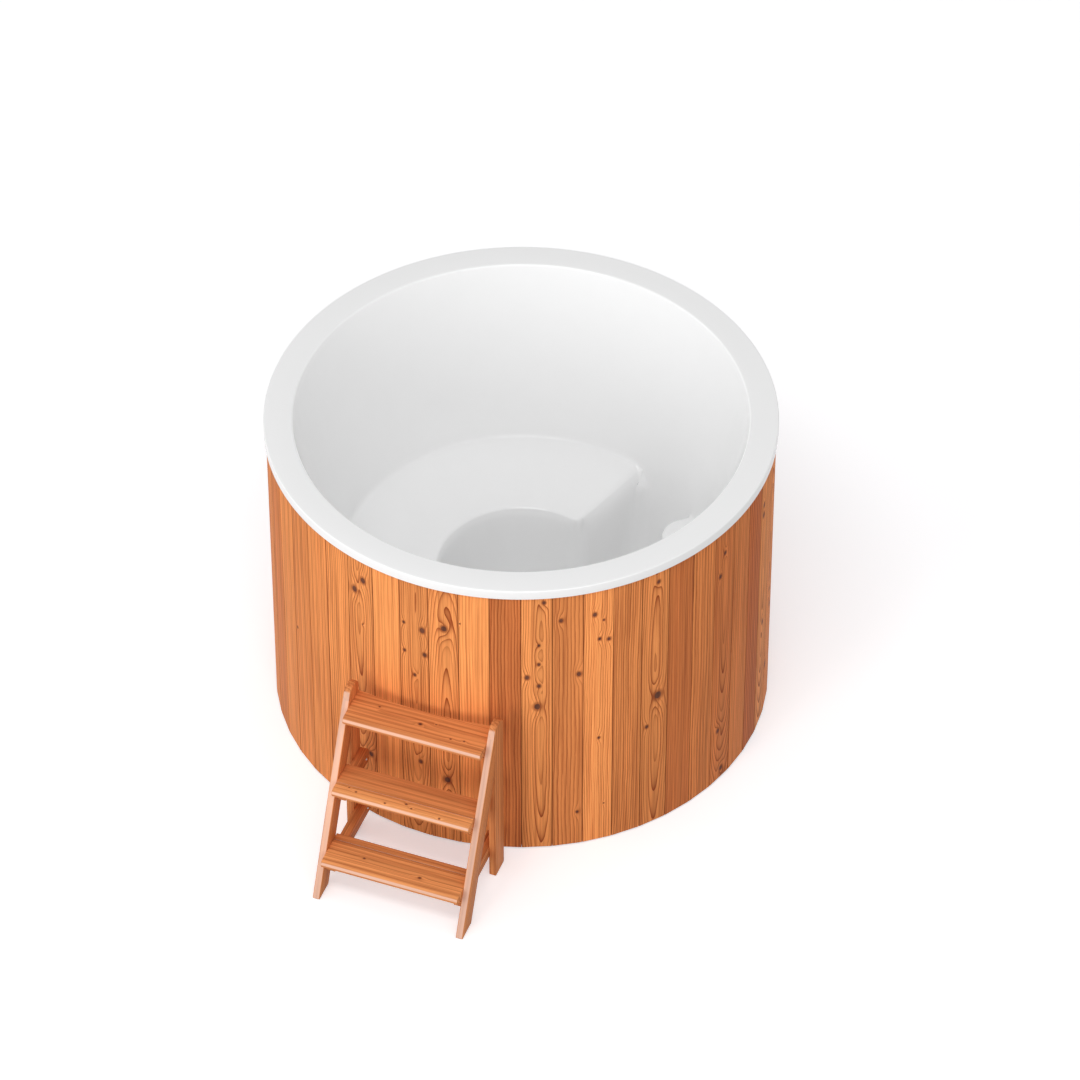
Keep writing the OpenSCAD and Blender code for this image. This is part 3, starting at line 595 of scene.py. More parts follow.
class LinerForm:
    """The inside of the liner as a distance field, in a frame turned so that the bay opens along +X. The
    faces of the well and of the step lean out by the draft from their top down to the floor."""

    def __init__(self, s):
        self.s = s
        self.rim_top = LINER_HIGH.z
        self.slope = (s.rim_inner - s.wall_foot) / (self.rim_top - s.bench_z)
        self.well_lean = s.draft * (s.bench_z - s.bench_fall - s.floor_z)
        self.step_lean = s.draft * (s.bench_z - s.floor_z)

    def wall_r(self, z):
        """Radius of the sloping wall: the rim's inner radius less the slope times the depth below the rim."""
        return self.s.rim_inner - (self.rim_top - z) * self.slope

    def floor(self, r):
        """Height of the floor, which steps up by the bay's rise outside the well."""
        foot = self.s.well_r - self.well_lean
        return self.s.floor_z + self.s.bay_rise * ramp(r, foot, foot + BAY_RAMP)

    def bench_top(self, r):
        """Height of the bench: that at the wall less the fall times the share of the way in to the well."""
        s = self.s
        return s.bench_z - s.bench_fall * (s.wall_foot - r) / (s.wall_foot - s.well_r)

    def bench_plan(self, x, y):
        """Level distance to the bench's inner edge and end faces, positive off the bench, and how far the
        end faces rule it, from 0 to 1. The edge is a circle, and each end face a line through the axis."""
        s = self.s
        ends = x * math.sin(s.bay_half) - np.abs(y) * math.cos(s.bay_half)
        inner = s.well_r - np.hypot(x, y)
        return round_edge(inner, ends, s.bench_corner), ramp(ends - inner, *END_LEAD)

    def step_plan(self, x, y):
        """Level distance to the entry step's straight face and sides, positive off the step: the greater of
        the two, or at a corner the distance from its arc's centre less its radius."""
        s = self.s
        y, r = np.abs(y), s.step_corner
        c, n = math.cos(s.step_half), math.sin(s.step_half)
        face, side = s.step_in - x, y * c - x * n
        dx = x - (s.step_in + r)
        dy = y - ((s.step_in + r) * n - r) / c
        at_corner = (dy > 0) & (dx * c + dy * n < 0)
        return np.where(at_corner, np.hypot(dx, dy) - r, np.maximum(face, side))

    def block(self, plan, top, z, edge):
        """Distance to a raised block with leaning sides: the level distance less the draft times the depth
        below the top, over the hypotenuse of one and the draft, and rounded into the top."""
        d = self.s.draft
        return round_edge(z - top, (plan - d * (top - z)) / math.hypot(1, d), edge)

    def air(self, p):
        """Distance from a point in the tub's inside to the nearest moulded surface: those to the wall, the
        bench, the step and the floor, joined one after another by their fillets."""
        s = self.s
        x, y, z = p[..., 0], p[..., 1], p[..., 2]
        r = np.hypot(x, y)
        wall = (self.wall_r(z) - r) / math.hypot(1, self.slope)
        plan, at_end = self.bench_plan(x, y)
        top = self.bench_top(r)
        bench = self.block(plan, top, z, s.bench_edge + (s.end_edge - s.bench_edge) * at_end)
        step = self.block(self.step_plan(x, y), s.bench_z, z, s.bench_edge)
        beside = ramp(plan, *FILLET_OFF) * ramp(top - z, *FILLET_BELOW)
        sides = hollow_join(wall, bench, s.bench_fillet + (s.end_fillet - s.bench_fillet) * beside)
        sides = hollow_join(sides, step, s.bench_fillet)
        return hollow_join(sides, z - self.floor(r), s.floor_fillet)

    def slope_of_air(self, p, h=0.0002):
        """Gradient of the distance, from differences along each axis."""
        steps = np.eye(3) * h
        return np.stack([(self.air(p + e) - self.air(p - e)) / (2 * h) for e in steps], -1)

    def seated(self, x, y):
        """Points over (x, y), first on the highest of the unrounded surfaces, and then moved onto the rounded
        form, each time by the distance times the gradient over the gradient's square."""
        s = self.s
        r = np.hypot(x, y)
        bench = self.bench_top(r) - np.maximum(self.bench_plan(x, y)[0], 0) / s.draft
        step = s.bench_z - np.maximum(self.step_plan(x, y), 0) / s.draft
        wall = s.bench_z + (r - s.wall_foot) / self.slope
        z = np.maximum.reduce([self.floor(r), bench, step, wall])
        p = np.stack([x, y, z], -1)
        for _ in range(SEATING_STEPS):
            g = self.slope_of_air(p)
            move = self.air(p)[..., None] * g / np.maximum((g * g).sum(-1, keepdims=True), 0.25)
            size = np.linalg.norm(move, axis=-1, keepdims=True)
            p = p - move * np.minimum(1, LONGEST_STEP / np.maximum(size, 1e-9))
        return p

    def normals(self, p):
        """Direction out of the shell at points on its inside."""
        return unit(self.slope_of_air(p))


def across_face(at, foot, fillet, edge, counts):
    """Places on a level line over a leaning face: a fillet below it, the face, and its rounded top edge. On
    the arcs they go by the sine and the cosine of even angles."""
    a = np.linspace(0, math.pi / 2, counts[0])
    b = np.linspace(0, math.pi / 2, counts[2])
    return np.concatenate([
        at - foot - fillet + fillet * np.sin(a),
        np.linspace(at - foot, at, counts[1])[1:-1],
        at + edge * (1 - np.cos(b)),
    ])


# Points over a leaning face: in its fillet, on the face, and round its top edge
WELL_POINTS, STEP_POINTS, END_POINTS = (8, 11, 8), (7, 10, 7), (7, 10, 11)
# Columns before and after the bench's end faces, by distance from the face in metres
END_BEFORE, END_AFTER = (-0.075, -0.062), (0.045, 0.058)
# Parts into which columns divide the step, the gap beside it, its corner, and the rest of the bench
STEP_PARTS, GAP_PARTS, CORNER_PARTS, BENCH_PARTS = 10, 7, 29, 215
# How far past the step's rounded corner columns keep their distance from it, and how far before its face
# they start to
PAST_CORNER, BEFORE_STEP = 0.006, 0.05
# Rows over the bench before the step, and the pitch of those over the step
BENCH_ROWS, STEP_PITCH = 10, 0.0026
# Rows round the wall's foot, how far they reach inside and outside it, and the gap that the step's leave
FOOT_ROWS, FOOT_INSIDE, FOOT_OUTSIDE, FOOT_GAP = 16, 0.0135, 0.006, 0.0015


def liner_columns(form, radius):
    """Angle of every column at a radius. Near each upright face the columns keep their distance from it in
    metres, so they run along it; elsewhere they spread evenly."""
    s, foot = form.s, form.step_lean
    face = across_face(0, foot, s.floor_fillet, s.bench_edge, STEP_POINTS)
    end = across_face(0, foot, s.floor_fillet, s.end_edge, END_POINTS)
    end = np.concatenate([END_BEFORE, end, END_AFTER])
    corner = np.linspace(s.bench_edge, s.step_corner + PAST_CORNER, CORNER_PARTS + 1)[1:]
    side = np.concatenate([-corner[::-1], -face[::-1]])
    r = np.maximum(radius, s.well_r - foot)[:, None]
    r_step = np.maximum(radius, s.step_in - BEFORE_STEP)[:, None]
    ends = s.bay_half + end[None] / r
    sides = s.step_half + side[None] / r_step

    def between(a, b, n):
        """The n - 1 columns that part the way from a to b in n."""
        t = np.linspace(0, 1, n + 1)[1:-1]
        return a + (b - a) * t

    gap = between(sides[:, -1:], ends[:, :1], GAP_PARTS)
    middle = between(-sides[:, :1], sides[:, :1], STEP_PARTS)
    rest = between(ends[:, -1:], 2 * math.pi - ends[:, -1:], BENCH_PARTS)
    half = np.concatenate([sides, gap, ends], 1)
    return np.concatenate([middle, half, rest, -half[:, ::-1] + 2 * math.pi], 1)


# Rows round the drain hole and over the floor, by distance from the axis; the rows up to the last of them are
# drawn over to the drain, which sits off the axis
DRAIN_ROWS = (0.03, 0.05, 0.09, 0.13, 0.165, 0.192)
# Distances between which rows start and stop to run straight along the entry step's face
STRAIGHT_FROM = (0.29, 0.385)
STRAIGHT_TO = (0.455, 0.525)
# Angle from the middle of the bay up to which they run straight; at twice this angle they are round again
STRAIGHT_TURN = math.radians(23)
# Heights of the rings up the wall above the seated rows, and of those down its back
WALL_LEVELS = (0.53, 0.56, 0.62, 0.70, 0.78, 0.86, 0.94, 1.0, 1.03)
BACK_LEVELS = (0.98, 0.9, 0.8, 0.7, 0.6, 0.54)
# Radius of the edges at the foot of the rim's lip, and in the hollow where the lip joins the rim
LIP_FOOT_EDGE, LIP_JOIN = 0.0015, 0.0008


def liner_rows(form):
    """Distances from the axis at which the inside has a row of points."""
    s, foot = form.s, form.step_lean
    well = across_face(s.well_r, form.well_lean, s.floor_fillet, s.bench_edge, WELL_POINTS)
    bench = np.linspace(s.well_r + s.bench_edge, s.step_in - foot - s.floor_fillet, BENCH_ROWS)[1:-1]
    step = across_face(s.step_in, foot, s.floor_fillet, s.bench_edge, STEP_POINTS)
    wall = np.linspace(s.wall_foot - FOOT_INSIDE, s.wall_foot + FOOT_OUTSIDE, FOOT_ROWS)
    corner = np.arange(s.step_in + s.bench_edge, wall[0] - FOOT_GAP, STEP_PITCH)[1:]
    return np.concatenate([[s.drain_hole, *DRAIN_ROWS], well, bench, step, corner, wall])


def liner_solid(s):
    """The liner's shell as one closed grid: from the drain hole over the floor, bench, wall and rim to the
    lip, and back behind them to the hole. Rows are rings, pulled straight along the entry step's face by one
    over the cosine of the angle from the step's middle."""
    form = LinerForm(s)
    rows = liner_rows(form)
    turn = liner_columns(form, rows)
    off = np.abs((turn + math.pi) % (2 * math.pi) - math.pi)
    near_step = ramp(rows, *STRAIGHT_FROM) * (1 - ramp(rows, *STRAIGHT_TO))
    pull = 1 / np.cos(np.minimum(off, STRAIGHT_TURN)) - 1
    pull *= 1 - ramp(off, STRAIGHT_TURN, 2 * STRAIGHT_TURN)
    reach = rows[:, None] * (1 + near_step[:, None] * pull)
    shift = DRAIN_X * (1 - np.clip((rows - rows[0]) / (DRAIN_ROWS[-1] - rows[0]), 0, 1))
    cos, sin = math.cos(s.bay_dir), math.sin(s.bay_dir)
    x = reach * np.cos(turn) + (shift * cos)[:, None]
    y = reach * np.sin(turn) - (shift * sin)[:, None]
    inside = form.seated(x, y)
    behind = (inside - form.normals(inside) * s.shell)[::-3]
    last = turn[-1]

    def rings(profile):
        """Rings of the last row's columns through a profile of (radius, height) points."""
        profile = np.asarray(profile)
        return np.stack([
            profile[:, :1] * np.cos(last), profile[:, :1] * np.sin(last),
            np.broadcast_to(profile[:, 1:], (len(profile), len(last))),
        ], -1)

    top, lip_foot, under = form.rim_top, form.rim_top - s.lip_h, form.rim_top - s.rim_thick
    lip_r, wall_level = LINER_HIGH.x, WALL_LEVELS[-1]
    back = s.shell * math.hypot(1, form.slope)
    corners = [
        (form.wall_r(wall_level), wall_level), (s.rim_inner, top), (lip_r, top), (lip_r, lip_foot),
        (s.lip_in, lip_foot), (s.lip_in, under), (form.wall_r(under) + back, under),
        (form.wall_r(wall_level) + back, wall_level),
    ]
    radii = [0, s.rim_edge, s.lip_edge, LIP_FOOT_EDGE, LIP_FOOT_EDGE, LIP_JOIN, 0, 0]
    rim = rounded(corners, radii, 8)[1:-1]
    up_wall = [(form.wall_r(z), z) for z in WALL_LEVELS]
    down_back = [(form.wall_r(z) + back, z) for z in BACK_LEVELS]
    points = np.concatenate([inside, rings(up_wall), rings(rim), rings(down_back), behind])
    px, py = points[..., 0].copy(), points[..., 1].copy()
    points[..., 0], points[..., 1] = px * cos - py * sin, px * sin + py * cos
    faces = grid_faces(*points.shape[:2], close_rows=True)
    return Solid(points, faces.tolist())


class TUB_OT_liner(Operator):
    """Makes the moulded liner with its rounded bench, bay, entry step and rolled rim"""

    bl_idname = "tub.liner"
    bl_label = "Moulded Liner"

    def execute(self, context):
        s = settings("liner")
        make_piece("liner_shell", [liner_solid(s)], acrylic(s.tone), "tub", ["liner"], sharp=50)
        return {"FINISHED"}


# The cladding


# A knot far off the board, for each of its marks that no knot takes
NO_KNOT = (9.0, 9.0, MM)


def board_marks(rng, across, depth, along, kind, light=0.0, red=0.0, knots=(), bold=1.0):
    """Marks of one board: its grain, the pith line behind its face, its figure, and its knots. A plain board
    is sawn beside the pith, so its rings run straight; an arched one over it, so they nest round an apex. A
    figure less bold has fewer and fainter rings."""
    shift = rng.uniform(0, 40)
    if kind == "arched":
        side, behind = rng.uniform(-0.012, 0.012), rng.uniform(0.005, 0.012)
        bow, ring, contrast = rng.uniform(0.06, 0.11), rng.uniform(0.006, 0.0075), 1.0
    else:
        side, behind = rng.choice([-1, 1]) * rng.uniform(0.08, 0.12), rng.uniform(0.01, 0.04)
        bow, ring, contrast = 0.0, rng.uniform(0.0058, 0.0120), rng.uniform(0.4, 1.15)
    if kind == "arched" and knots:
        apex = max(knots, key=lambda knot: knot[2])[1]
    else:
        apex = rng.uniform(0.3, 0.7) * (np.min(along) + np.max(along))
    marks = {
        "grain": np.stack([across, depth, along + shift], -1).reshape(-1, 3),
        "pith": (side, behind, apex + shift),
        "sawn": (bow, ring / bold, contrast * bold),
        "tone": (light, red, 0),
    }
    spots = list(knots) + [NO_KNOT] * (len(KNOT_MARKS) - len(knots))
    for mark, (knot_across, knot_along, size) in zip(KNOT_MARKS, spots):
        marks[mark] = (knot_across, knot_along + shift, size)
    return marks


# Radius round both ends of a stave
STAVE_END = 0.001
# Half the thickness of a stave's tongue and how far it reaches out, and the same of the groove that takes it
TONGUE = (0.0030, 0.0065)
GROOVE = (0.0033, -0.0077)


def stave_outline(s):
    """Section of one stave at angle zero: rounded outer edges, a tongue on one side and a groove on the
    other."""
    half = math.pi / s.staves
    ray = np.array([math.cos(half), math.sin(half)])
    normal = np.array([-math.sin(half), math.cos(half)])
    middle, inner = s.radius - s.thick / 2, s.radius - s.thick / math.cos(half)

    def side(half_thick, reach):
        """Points down one side of the stave, past a tongue or a groove."""
        over, under = middle + half_thick, middle - half_thick
        places = [(s.radius, 0), (over, 0), (over, reach), (under, reach), (under, 0), (inner, 0)]
        return np.array([ray * r + normal * (out - s.gap / 2) for r, out in places])

    points = np.concatenate([side(*TONGUE), side(*GROOVE)[::-1] * (1, -1)])
    return rounded(points, [s.edge] + [0] * 10 + [s.edge], 6)


def stave(rng, s, turn, low, high, kind, light, red, knots):
    """One stave with the marks of its grain, turned to its place by its angle's cosine and sine."""
    face = s.radius * math.cos(math.pi / s.staves)
    cos, sin = math.cos(turn), math.sin(turn)
    made = carried(stave_outline(s), low, high, STAVE_END, lambda a, b, level: np.stack([a, b, level], -1))
    a, b, level = made.points.T
    marks = board_marks(rng, b, face - a, level, kind, light, red, knots)
    return Solid(np.stack([a * cos - b * sin, a * sin + b * cos, level], -1), made.faces, **marks)


# Each quarter of the cladding and the angle at which it starts
QUARTERS = {"front_right": -90, "rear_right": 0, "rear_left": 90, "front_left": 180}

# Staves in view from the front, by quarter and place in it: kind, lightness, redness, and knots as
# millimetres across from the middle of the stave, millimetres up from the ground, and millimetres in radius
SEEN_STAVES = {
    "front_left": {
        4: ("plain", 0.05, 0.25, ()),
        5: ("plain", -0.10, 0.40, ()),
        6: ("plain", 0.10, 0.10, ()),
        7: ("plain", 0.00, 0.20, ((-35, 532, 3),)),
        8: ("plain", 0.12, 0.10, ()),
        9: ("plain", 0.10, 0.05, ()),
        10: ("arched", 0.00, 0.00, ((11, 948, 8), (-21, 897, 8), (5, 770, 2), (24, 250, 7))),
        11: ("plain", 0.20, 0.00, ()),
        12: ("arched", -0.05, 0.05, (
            (-32, 855, 4), (26, 843, 7), (-31, 743, 4), (33, 748, 6), (0, 655, 4), (14, 304, 5),
        )),
    },
    "front_right": {
        0: ("arched", 0.05, 0.05, ((2, 872, 8), (7, 256, 9))),
        1: ("plain", 0.22, 0.00, ((-40, 905, 2), (30, 250, 4))),
        2: ("plain", -0.15, 0.60, ()),
        3: ("arched", 0.08, 0.00, (
            (21, 1004, 5), (6, 835, 4), (6, 759, 4), (-28, 708, 6), (6, 672, 5), (1, 589, 9),
        )),
        4: ("plain", -0.05, 0.25, ((-21, 927, 5), (32, 705, 6), (29, 136, 4))),
        5: ("plain", 0.42, 0.00, (
            (-12, 930, 6), (15, 902, 3), (3, 830, 5), (31, 822, 5), (3, 428, 4), (20, 150, 2),
        )),
        6: ("plain", 0.00, 0.20, ()),
        7: ("arched", 0.00, 0.15, ((8, 982, 5), (12, 525, 11), (-24, 412, 5))),
        8: ("plain", -0.20, 0.60, ()),
        9: ("plain", 0.00, 0.35, ()),
        10: ("arched", -0.10, 0.50, ((0, 930, 5), (-20, 850, 6), (-12, 212, 6), (9, 40, 6))),
        11: ("plain", 0.00, 0.40, ()),
        12: ("plain", -0.25, 0.80, ()),
    },
}


def any_stave(rng):
    """The looks of a stave that is out of view from the front."""
    kind = "arched" if rng.random() < 0.3 else "plain"
    count = rng.integers(1, 5) if kind == "arched" else rng.integers(0, 2)
    knots = [(rng.uniform(-32, 32), rng.uniform(80, 980), rng.uniform(3, 9)) for _ in range(count)]
    return kind, rng.uniform(-0.2, 0.25), rng.uniform(0, 0.6), knots


class TUB_OT_cladding(Operator):
    """Makes the fifty-two tongued staves of the cladding, a quarter of the tub in each piece"""

    bl_idname = "tub.cladding"
    bl_label = "Stave Cladding"

    def execute(self, context):
        s = settings("cladding")
        finish = wood("cladding_cedar", s, 0.52, 0.08, s.radius * math.sin(math.pi / s.staves) - s.gap)
        rng = np.random.default_rng(7)
        count = s.staves // len(QUARTERS)
        for name, start in QUARTERS.items():
            boards = []
            for k in range(count):
                turn = math.radians(start) + math.tau / s.staves * (k + 0.5)
                kind, light, red, knots = SEEN_STAVES.get(name, {}).get(k) or any_stave(rng)
                knots = [tuple(v * MM for v in knot) for knot in knots]
                boards.append(stave(rng, s, turn, STAVE_LOW.z, STAVE_HIGH.z, kind, light, red, knots))
            make_piece("cladding_" + name, boards, finish, "tub", ["staves_" + name])
        return {"FINISHED"}


# The ladder


def ladder_board(rng, outline, low, high, edge, grain, kind="plain", place=None, between=0, **looks):
    """One ladder board: an outline in the Y-Z plane carried along X, with its marks. grain holds the board's
    across, depth and along axes."""
    place = place or (lambda a, b, level: np.stack([level, a, b], -1))
    made = carried(outline, low, high, edge, place, between)
    origin = (made.points.min(0) + made.points.max(0)) / 2
    across, depth, along = ((made.points - origin) @ unit(np.asarray(grain, float)).T).T
    marks = board_marks(rng, across, depth - depth.min(), along, kind, **looks)
    return Solid(made.points, made.faces, **marks)


def box_outline(low, high):
    """The four corners of a box in the Y-Z plane, anticlockwise from low Y and low Z."""
    return [(low.y, low.z), (high.y, low.z), (high.y, high.z), (low.y, high.z)]


# Radius of a tread's nose as a share of half its thickness, and the sections along the upper tread's arc
NOSE_SHARE = 0.98
ARC_LEVELS = 24
# Depth behind the upper tread's foremost edge that its hollow back leaves as it is
NOSE_KEPT = 0.02


def nose_outline(low, high, edge, rounded_front):
    """Section of a tread from its box: a half-round nose at the front, or eased edges all round."""
    front = (high.z - low.z) / 2 * NOSE_SHARE if rounded_front else edge
    return rounded(box_outline(low, high), [front, edge, edge, front], 9)


# Directions across, behind the face of, and along a board, by the axis that it runs along
ALONG_X = ((0, 1, 0), (0, 0, -1), (1, 0, 0))
ALONG_Y = ((0, 0, 1), (1, 0, 0), (0, 1, 0))
ALONG_Z = ((0, 1, 0), (1, 0, 0), (0, 0, 1))

# Looks of each tread board, with knots as metres across and along from its middle, and metres in radius
TREADS = {
    "upper_tread": {"kind": "arched", "light": 0.10, "red": 0.30, "bold": 0.48, "knots": (
        (0.020, -0.13, 0.002), (-0.004, 0.006, 0.004), (0.010, 0.050, 0.0015), (-0.030, 0.11, 0.002),
        (-0.025, 0.15, 0.002),
    )},
    "middle_tread_front": {"light": 0.30, "red": 0.0, "bold": 0.5, "knots": (
        (0.012, -0.17, 0.0015), (0.002, -0.145, 0.002), (-0.010, -0.05, 0.002), (0.008, 0.01, 0.0025),
        (-0.004, 0.03, 0.002), (-0.012, 0.12, 0.002),
    )},
    "middle_tread_back": {"light": 0.0, "red": 0.35, "bold": 0.5},
    "lower_tread_front": {"light": 0.20, "red": 0.1, "bold": 0.48, "knots": (
        (0.01, -0.10, 0.0025), (-0.006, 0.08, 0.003),
    )},
    "lower_tread_back": {"kind": "arched", "light": 0.05, "red": 0.3, "bold": 0.48},
}


class TUB_OT_ladder(Operator):
    """Makes the ladder's sides, rear legs, treads and bearers, each a board of its own"""

    bl_idname = "tub.ladder"
    bl_label = "Entry Ladder"

    def execute(self, context):
        s = settings("ladder")
        # The last number is the share of the painted sheen on faces turned to the front
        finish = wood("ladder_cedar", s, 0.48, 0.12, painted_sheen=0.68)
        rng = np.random.default_rng(11)

        def add(node, outline, low, high, edge, grain, **more):
            """Makes the board that stands for a node: its outline carried from low to high."""
            board = ladder_board(rng, outline, low, high, edge, grain, **more)
            make_piece(node + "_board", [board], finish, "ladder", [node])

        for side in ("left", "right"):
            low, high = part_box("stringer_" + side)
            run = (high.y - low.y) / high.z
            slope = unit(np.array([0, run, 1]))
            blunt = (high.y - run * s.tip, high.z - s.tip)
            outline = [
                (low.y, 0), (low.y + s.foot_depth, 0), (high.y, high.z - s.foot_depth / run),
                (high.y, blunt[1]), blunt,
            ]
            outline = rounded(outline, [s.edge, s.edge, 0, 0, 0])
            grain = ((0, slope[2], -slope[1]), (1, 0, 0), slope)
            add("stringer_" + side, outline, low.x, high.x, s.edge, grain, light=0.05, red=0.2, bold=0.8)

            tip_y, tip_z = high.y, high.z
            low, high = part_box("rear_leg_" + side)
            outline = [
                (low.y, 0), (high.y, 0), (high.y, high.z), (tip_y + run * (high.z - tip_z), high.z), blunt,
                (low.y, blunt[1]),
            ]
            outline = rounded(outline, [s.edge, s.edge, s.leg_round, s.leg_round, 0, 0], 14)
            add("rear_leg_" + side, outline, low.x, high.x, s.edge, ALONG_Z, red=0.3, bold=0.8)

        tread_low, tread_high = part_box("upper_tread")
        hollow = s.back_arc - math.sqrt(s.back_arc ** 2 - tread_high.x ** 2)

        def hollow_back(a, b, level):
            """Places the upper tread's outline, its back edge drawn in to an arc: by the arc's radius less
            the root of its square less the level's square."""
            drawn = s.back_arc - np.sqrt(s.back_arc ** 2 - level ** 2) - hollow
            return np.stack([level, a + drawn * ramp(a, tread_low.y + NOSE_KEPT, tread_high.y), b], -1)

        for node, looks in TREADS.items():
            low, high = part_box(node)
            upper = node == "upper_tread"
            outline = nose_outline(low, high, s.tread_edge, upper or node.endswith("front"))
            arc = {"place": hollow_back, "between": ARC_LEVELS} if upper else {}
            add(node, outline, low.x, high.x, s.tread_end, ALONG_X, **arc, **looks)

        for node in ("upper_cleat", "middle_bearer", "lower_bearer"):
            for side in ("left", "right"):
                low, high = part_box(node + "_" + side)
                outline = rounded(box_outline(low, high), s.bearer_edge, 3)
                add(node + "_" + side, outline, low.x, high.x, s.bearer_edge, ALONG_Y, red=0.3)
        return {"FINISHED"}


# Frame and fittings


def dress(finish, *nodes):
    """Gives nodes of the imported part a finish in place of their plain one."""
    for node in nodes:
        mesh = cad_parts[node].data
        mesh.materials.clear()
        mesh.materials.append(finish)


class TUB_OT_fittings(Operator):
    """Finishes the hidden frame, the foam and the drain's metal and plastic parts"""

    bl_idname = "tub.fittings"
    bl_label = "Frame and Fittings"

    def execute(self, context):
        dress(
            plywood(), "top_ring", "middle_ring", "lower_ring", "upper_posts", "lower_posts", "base_plate",
            "bench_props",
        )
        dress(moulded("joist_timber", (0.42, 0.27, 0.14), 0.7, 90), "base_joists")
        dress(moulded("black_rubber", (0.025, 0.025, 0.026), 0.62), "rim_tape", "base_pads", "drain_gasket")
        dress(foam(), "insulation")
        dress(
            brushed_metal("stainless_steel", (0.62, 0.62, 0.63), 0.2), "strainer_rim", "strainer_grate",
            "strainer_screw", "pipe_clip_screws", "wall_plate", "valve_ball", "valve_lever", "lever_nut",
            "bearer_screws", "stringer_screws",
        )
        dress(brushed_metal("brass", (0.72, 0.52, 0.24), 0.24), "valve_body", "valve_stem", "hose_tail")
        dress(
            moulded("grey_plastic", (0.52, 0.54, 0.56), 0.4), "drain_tail", "drain_locknut", "drain_elbow",
            "drain_pipe", "pipe_clips",
        )
        dress(moulded("red_grip", (0.42, 0.022, 0.018), 0.38), "lever_grip")
        return {"FINISHED"}


# Stage


# Direction toward each soft lamp, and the angle in degrees that it fills
LAMPS = {
    "key": ((-0.80, -0.57, 0.20), 56),
    "fill": ((0.62, -0.78, 0.26), 60),
    "back": ((0.20, 0.95, 0.28), 70),
}
# Direction toward each flat lamp, its distance, width and height
PANELS = {
    "panel": ((0.056, -0.475, 0.90), 12.4, 5.6, 2.4),
    "strip": ((-0.25, -0.92, 0.285), 9.0, 2.0, 5.0),
}
WHITE = (1, 1, 1, 1)
# Light that the seen floor adds, a little cool, because the boards throw a warm tone on it
GLOW_COLOUR = (0.94, 0.96, 1, 1)
# Half the width of the floor, in metres
FLOOR_REACH = 30.0


def backdrop_share(f):
    """One for rays that show the backdrop itself: camera, glossy and transmission rays."""
    path = f.node("LightPath").socket.node.outputs
    camera, gloss, clear = (Value(f, path[f"Is {ray} Ray"]) for ray in ("Camera", "Glossy", "Transmission"))
    return (camera + gloss + clear).do("MINIMUM", 1.0)


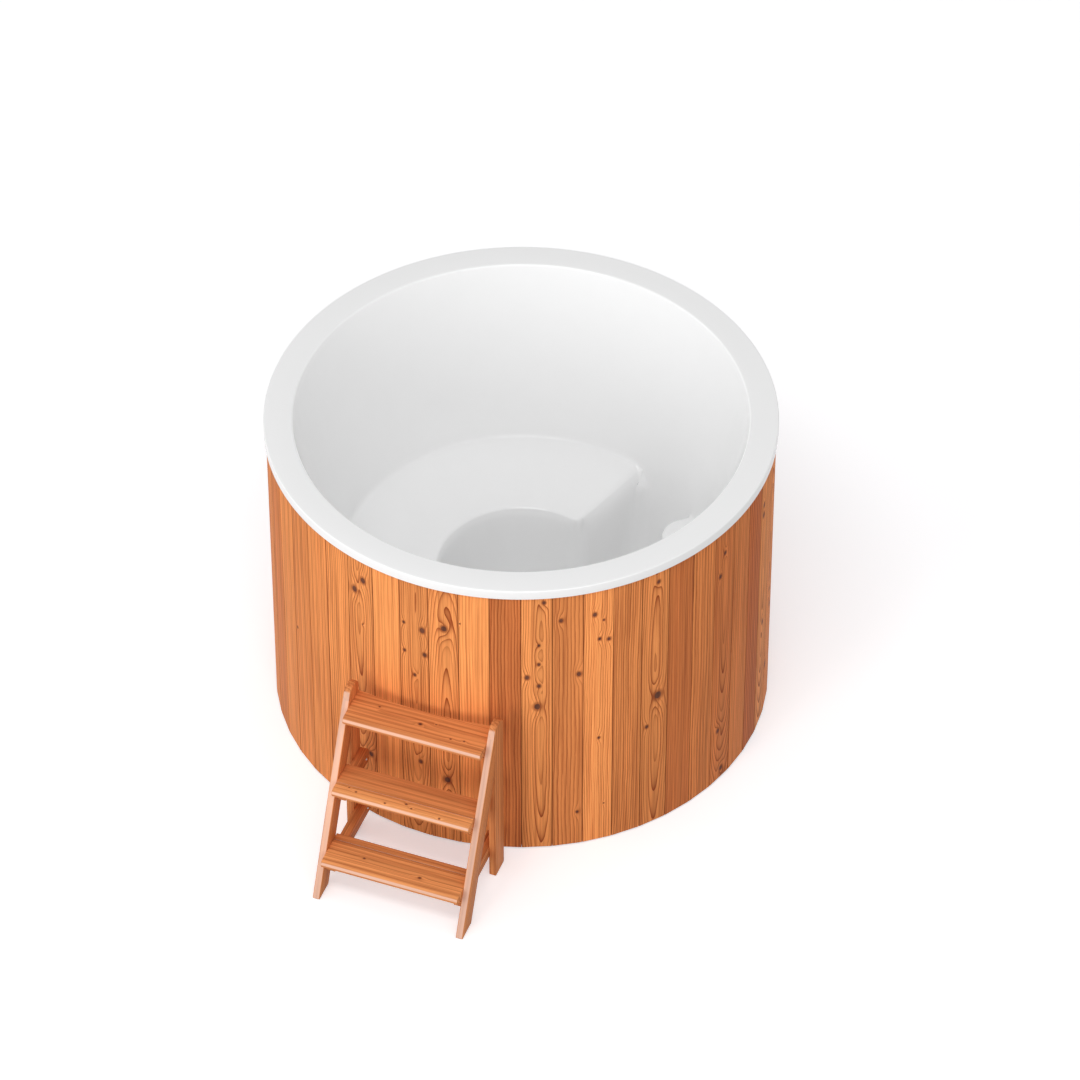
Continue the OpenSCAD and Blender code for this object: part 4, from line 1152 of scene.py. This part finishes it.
class TUB_OT_stage(Operator):
    """Makes the floor, the soft light and the camera"""

    bl_idname = "tub.stage"
    bl_label = "Stage"

    def execute(self, context):
        s = settings("stage")
        scene = context.scene
        corners = [(x * FLOOR_REACH, y * FLOOR_REACH, 0) for x, y in ((-1, -1), (1, -1), (1, 1), (-1, 1))]
        mesh = bpy.data.meshes.new("floor")
        mesh.from_pydata(corners, [], [(0, 1, 2, 3)])
        floor = bpy.data.objects.new("floor", mesh)
        scene.collection.objects.link(floor)
        f = Finish("pale_floor")
        matt, seen = (f.node("BsdfDiffuse", {}, {"Color": (v, v, v, 1)}) for v in (s.floor, s.seen_floor))
        glow = f.node("Emission", {}, {"Color": GLOW_COLOUR, "Strength": s.glow})
        shown = f.node("AddShader", {}, {0: seen, 1: glow})
        mesh.materials.append(f.end(f.node("MixShader", {}, {0: backdrop_share(f), 1: matt, 2: shown})))

        w = Finish("studio", bpy.data.worlds)
        even = w.node("Background", {}, {"Color": WHITE, "Strength": s.ambient})
        shown = w.node("Background", {}, {"Color": WHITE, "Strength": 1.0})
        scene.world = w.end(w.node("MixShader", {}, {0: backdrop_share(w), 1: even, 2: shown}), "World")

        def aimed(name, data, toward, at=(0, 0, 0)):
            """Puts a lamp or camera in the scene, looking back along the direction toward it."""
            held = bpy.data.objects.new(name, data)
            held.location, held.rotation_euler = at, toward.to_track_quat("Z", "Y").to_euler()
            scene.collection.objects.link(held)
            return held

        for name, (toward, size) in LAMPS.items():
            lamp = bpy.data.lights.new(name, "SUN")
            lamp.energy, lamp.angle = getattr(s, name), math.radians(size)
            aimed(name, lamp, Vector(toward))

        for name, (toward, reach, wide, high) in PANELS.items():
            lamp = bpy.data.lights.new(name, "AREA")
            lamp.shape, lamp.size, lamp.size_y, lamp.energy = "RECTANGLE", wide, high, getattr(s, name)
            toward = Vector(toward).normalized()
            aimed(name, lamp, toward, toward * reach).visible_camera = False

        lens = bpy.data.cameras.new("camera")
        lens.lens, lens.sensor_width, lens.clip_end = s.focal, 36.0, 200.0
        a, e = s.heading, s.rise
        back = Vector((math.sin(a) * math.cos(e), -math.cos(a) * math.cos(e), math.sin(e)))
        scene.camera = aimed("camera", lens, back, Vector(s.aim) + back * s.distance)
        scene.view_settings.view_transform = "Standard"
        return {"FINISHED"}


OPERATORS = (TUB_OT_liner, TUB_OT_cladding, TUB_OT_ladder, TUB_OT_fittings, TUB_OT_stage)


class TUB_PT_parts(Panel):
    """Lists the parts of the tub in the sidebar"""

    bl_idname = "TUB_PT_parts"
    bl_label = "Plunge Tub"
    bl_space_type = "VIEW_3D"
    bl_region_type = "UI"
    bl_category = "Plunge Tub"

    def draw(self, context):
        """Gives every operator a button."""
        for operator in OPERATORS:
            self.layout.operator(operator.bl_idname)


SETTINGS = (LinerSettings, CladdingSettings, LadderSettings, StageSettings, TubSettings)
CLASSES = (*SETTINGS, *OPERATORS, TUB_PT_parts)


def register():
    """Makes the classes and the settings known."""
    for cls in CLASSES:
        bpy.utils.register_class(cls)
    bpy.types.Scene.plunge_tub = PointerProperty(type=TubSettings)


def unregister():
    """Takes the settings and the classes away again."""
    del bpy.types.Scene.plunge_tub
    for cls in reversed(CLASSES):
        bpy.utils.unregister_class(cls)


def main():
    """Registers the add-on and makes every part."""
    register()
    bpy.ops.tub.liner()
    bpy.ops.tub.cladding()
    bpy.ops.tub.ladder()
    bpy.ops.tub.fittings()
    bpy.ops.tub.stage()


if __name__ == "__main__":
    main()
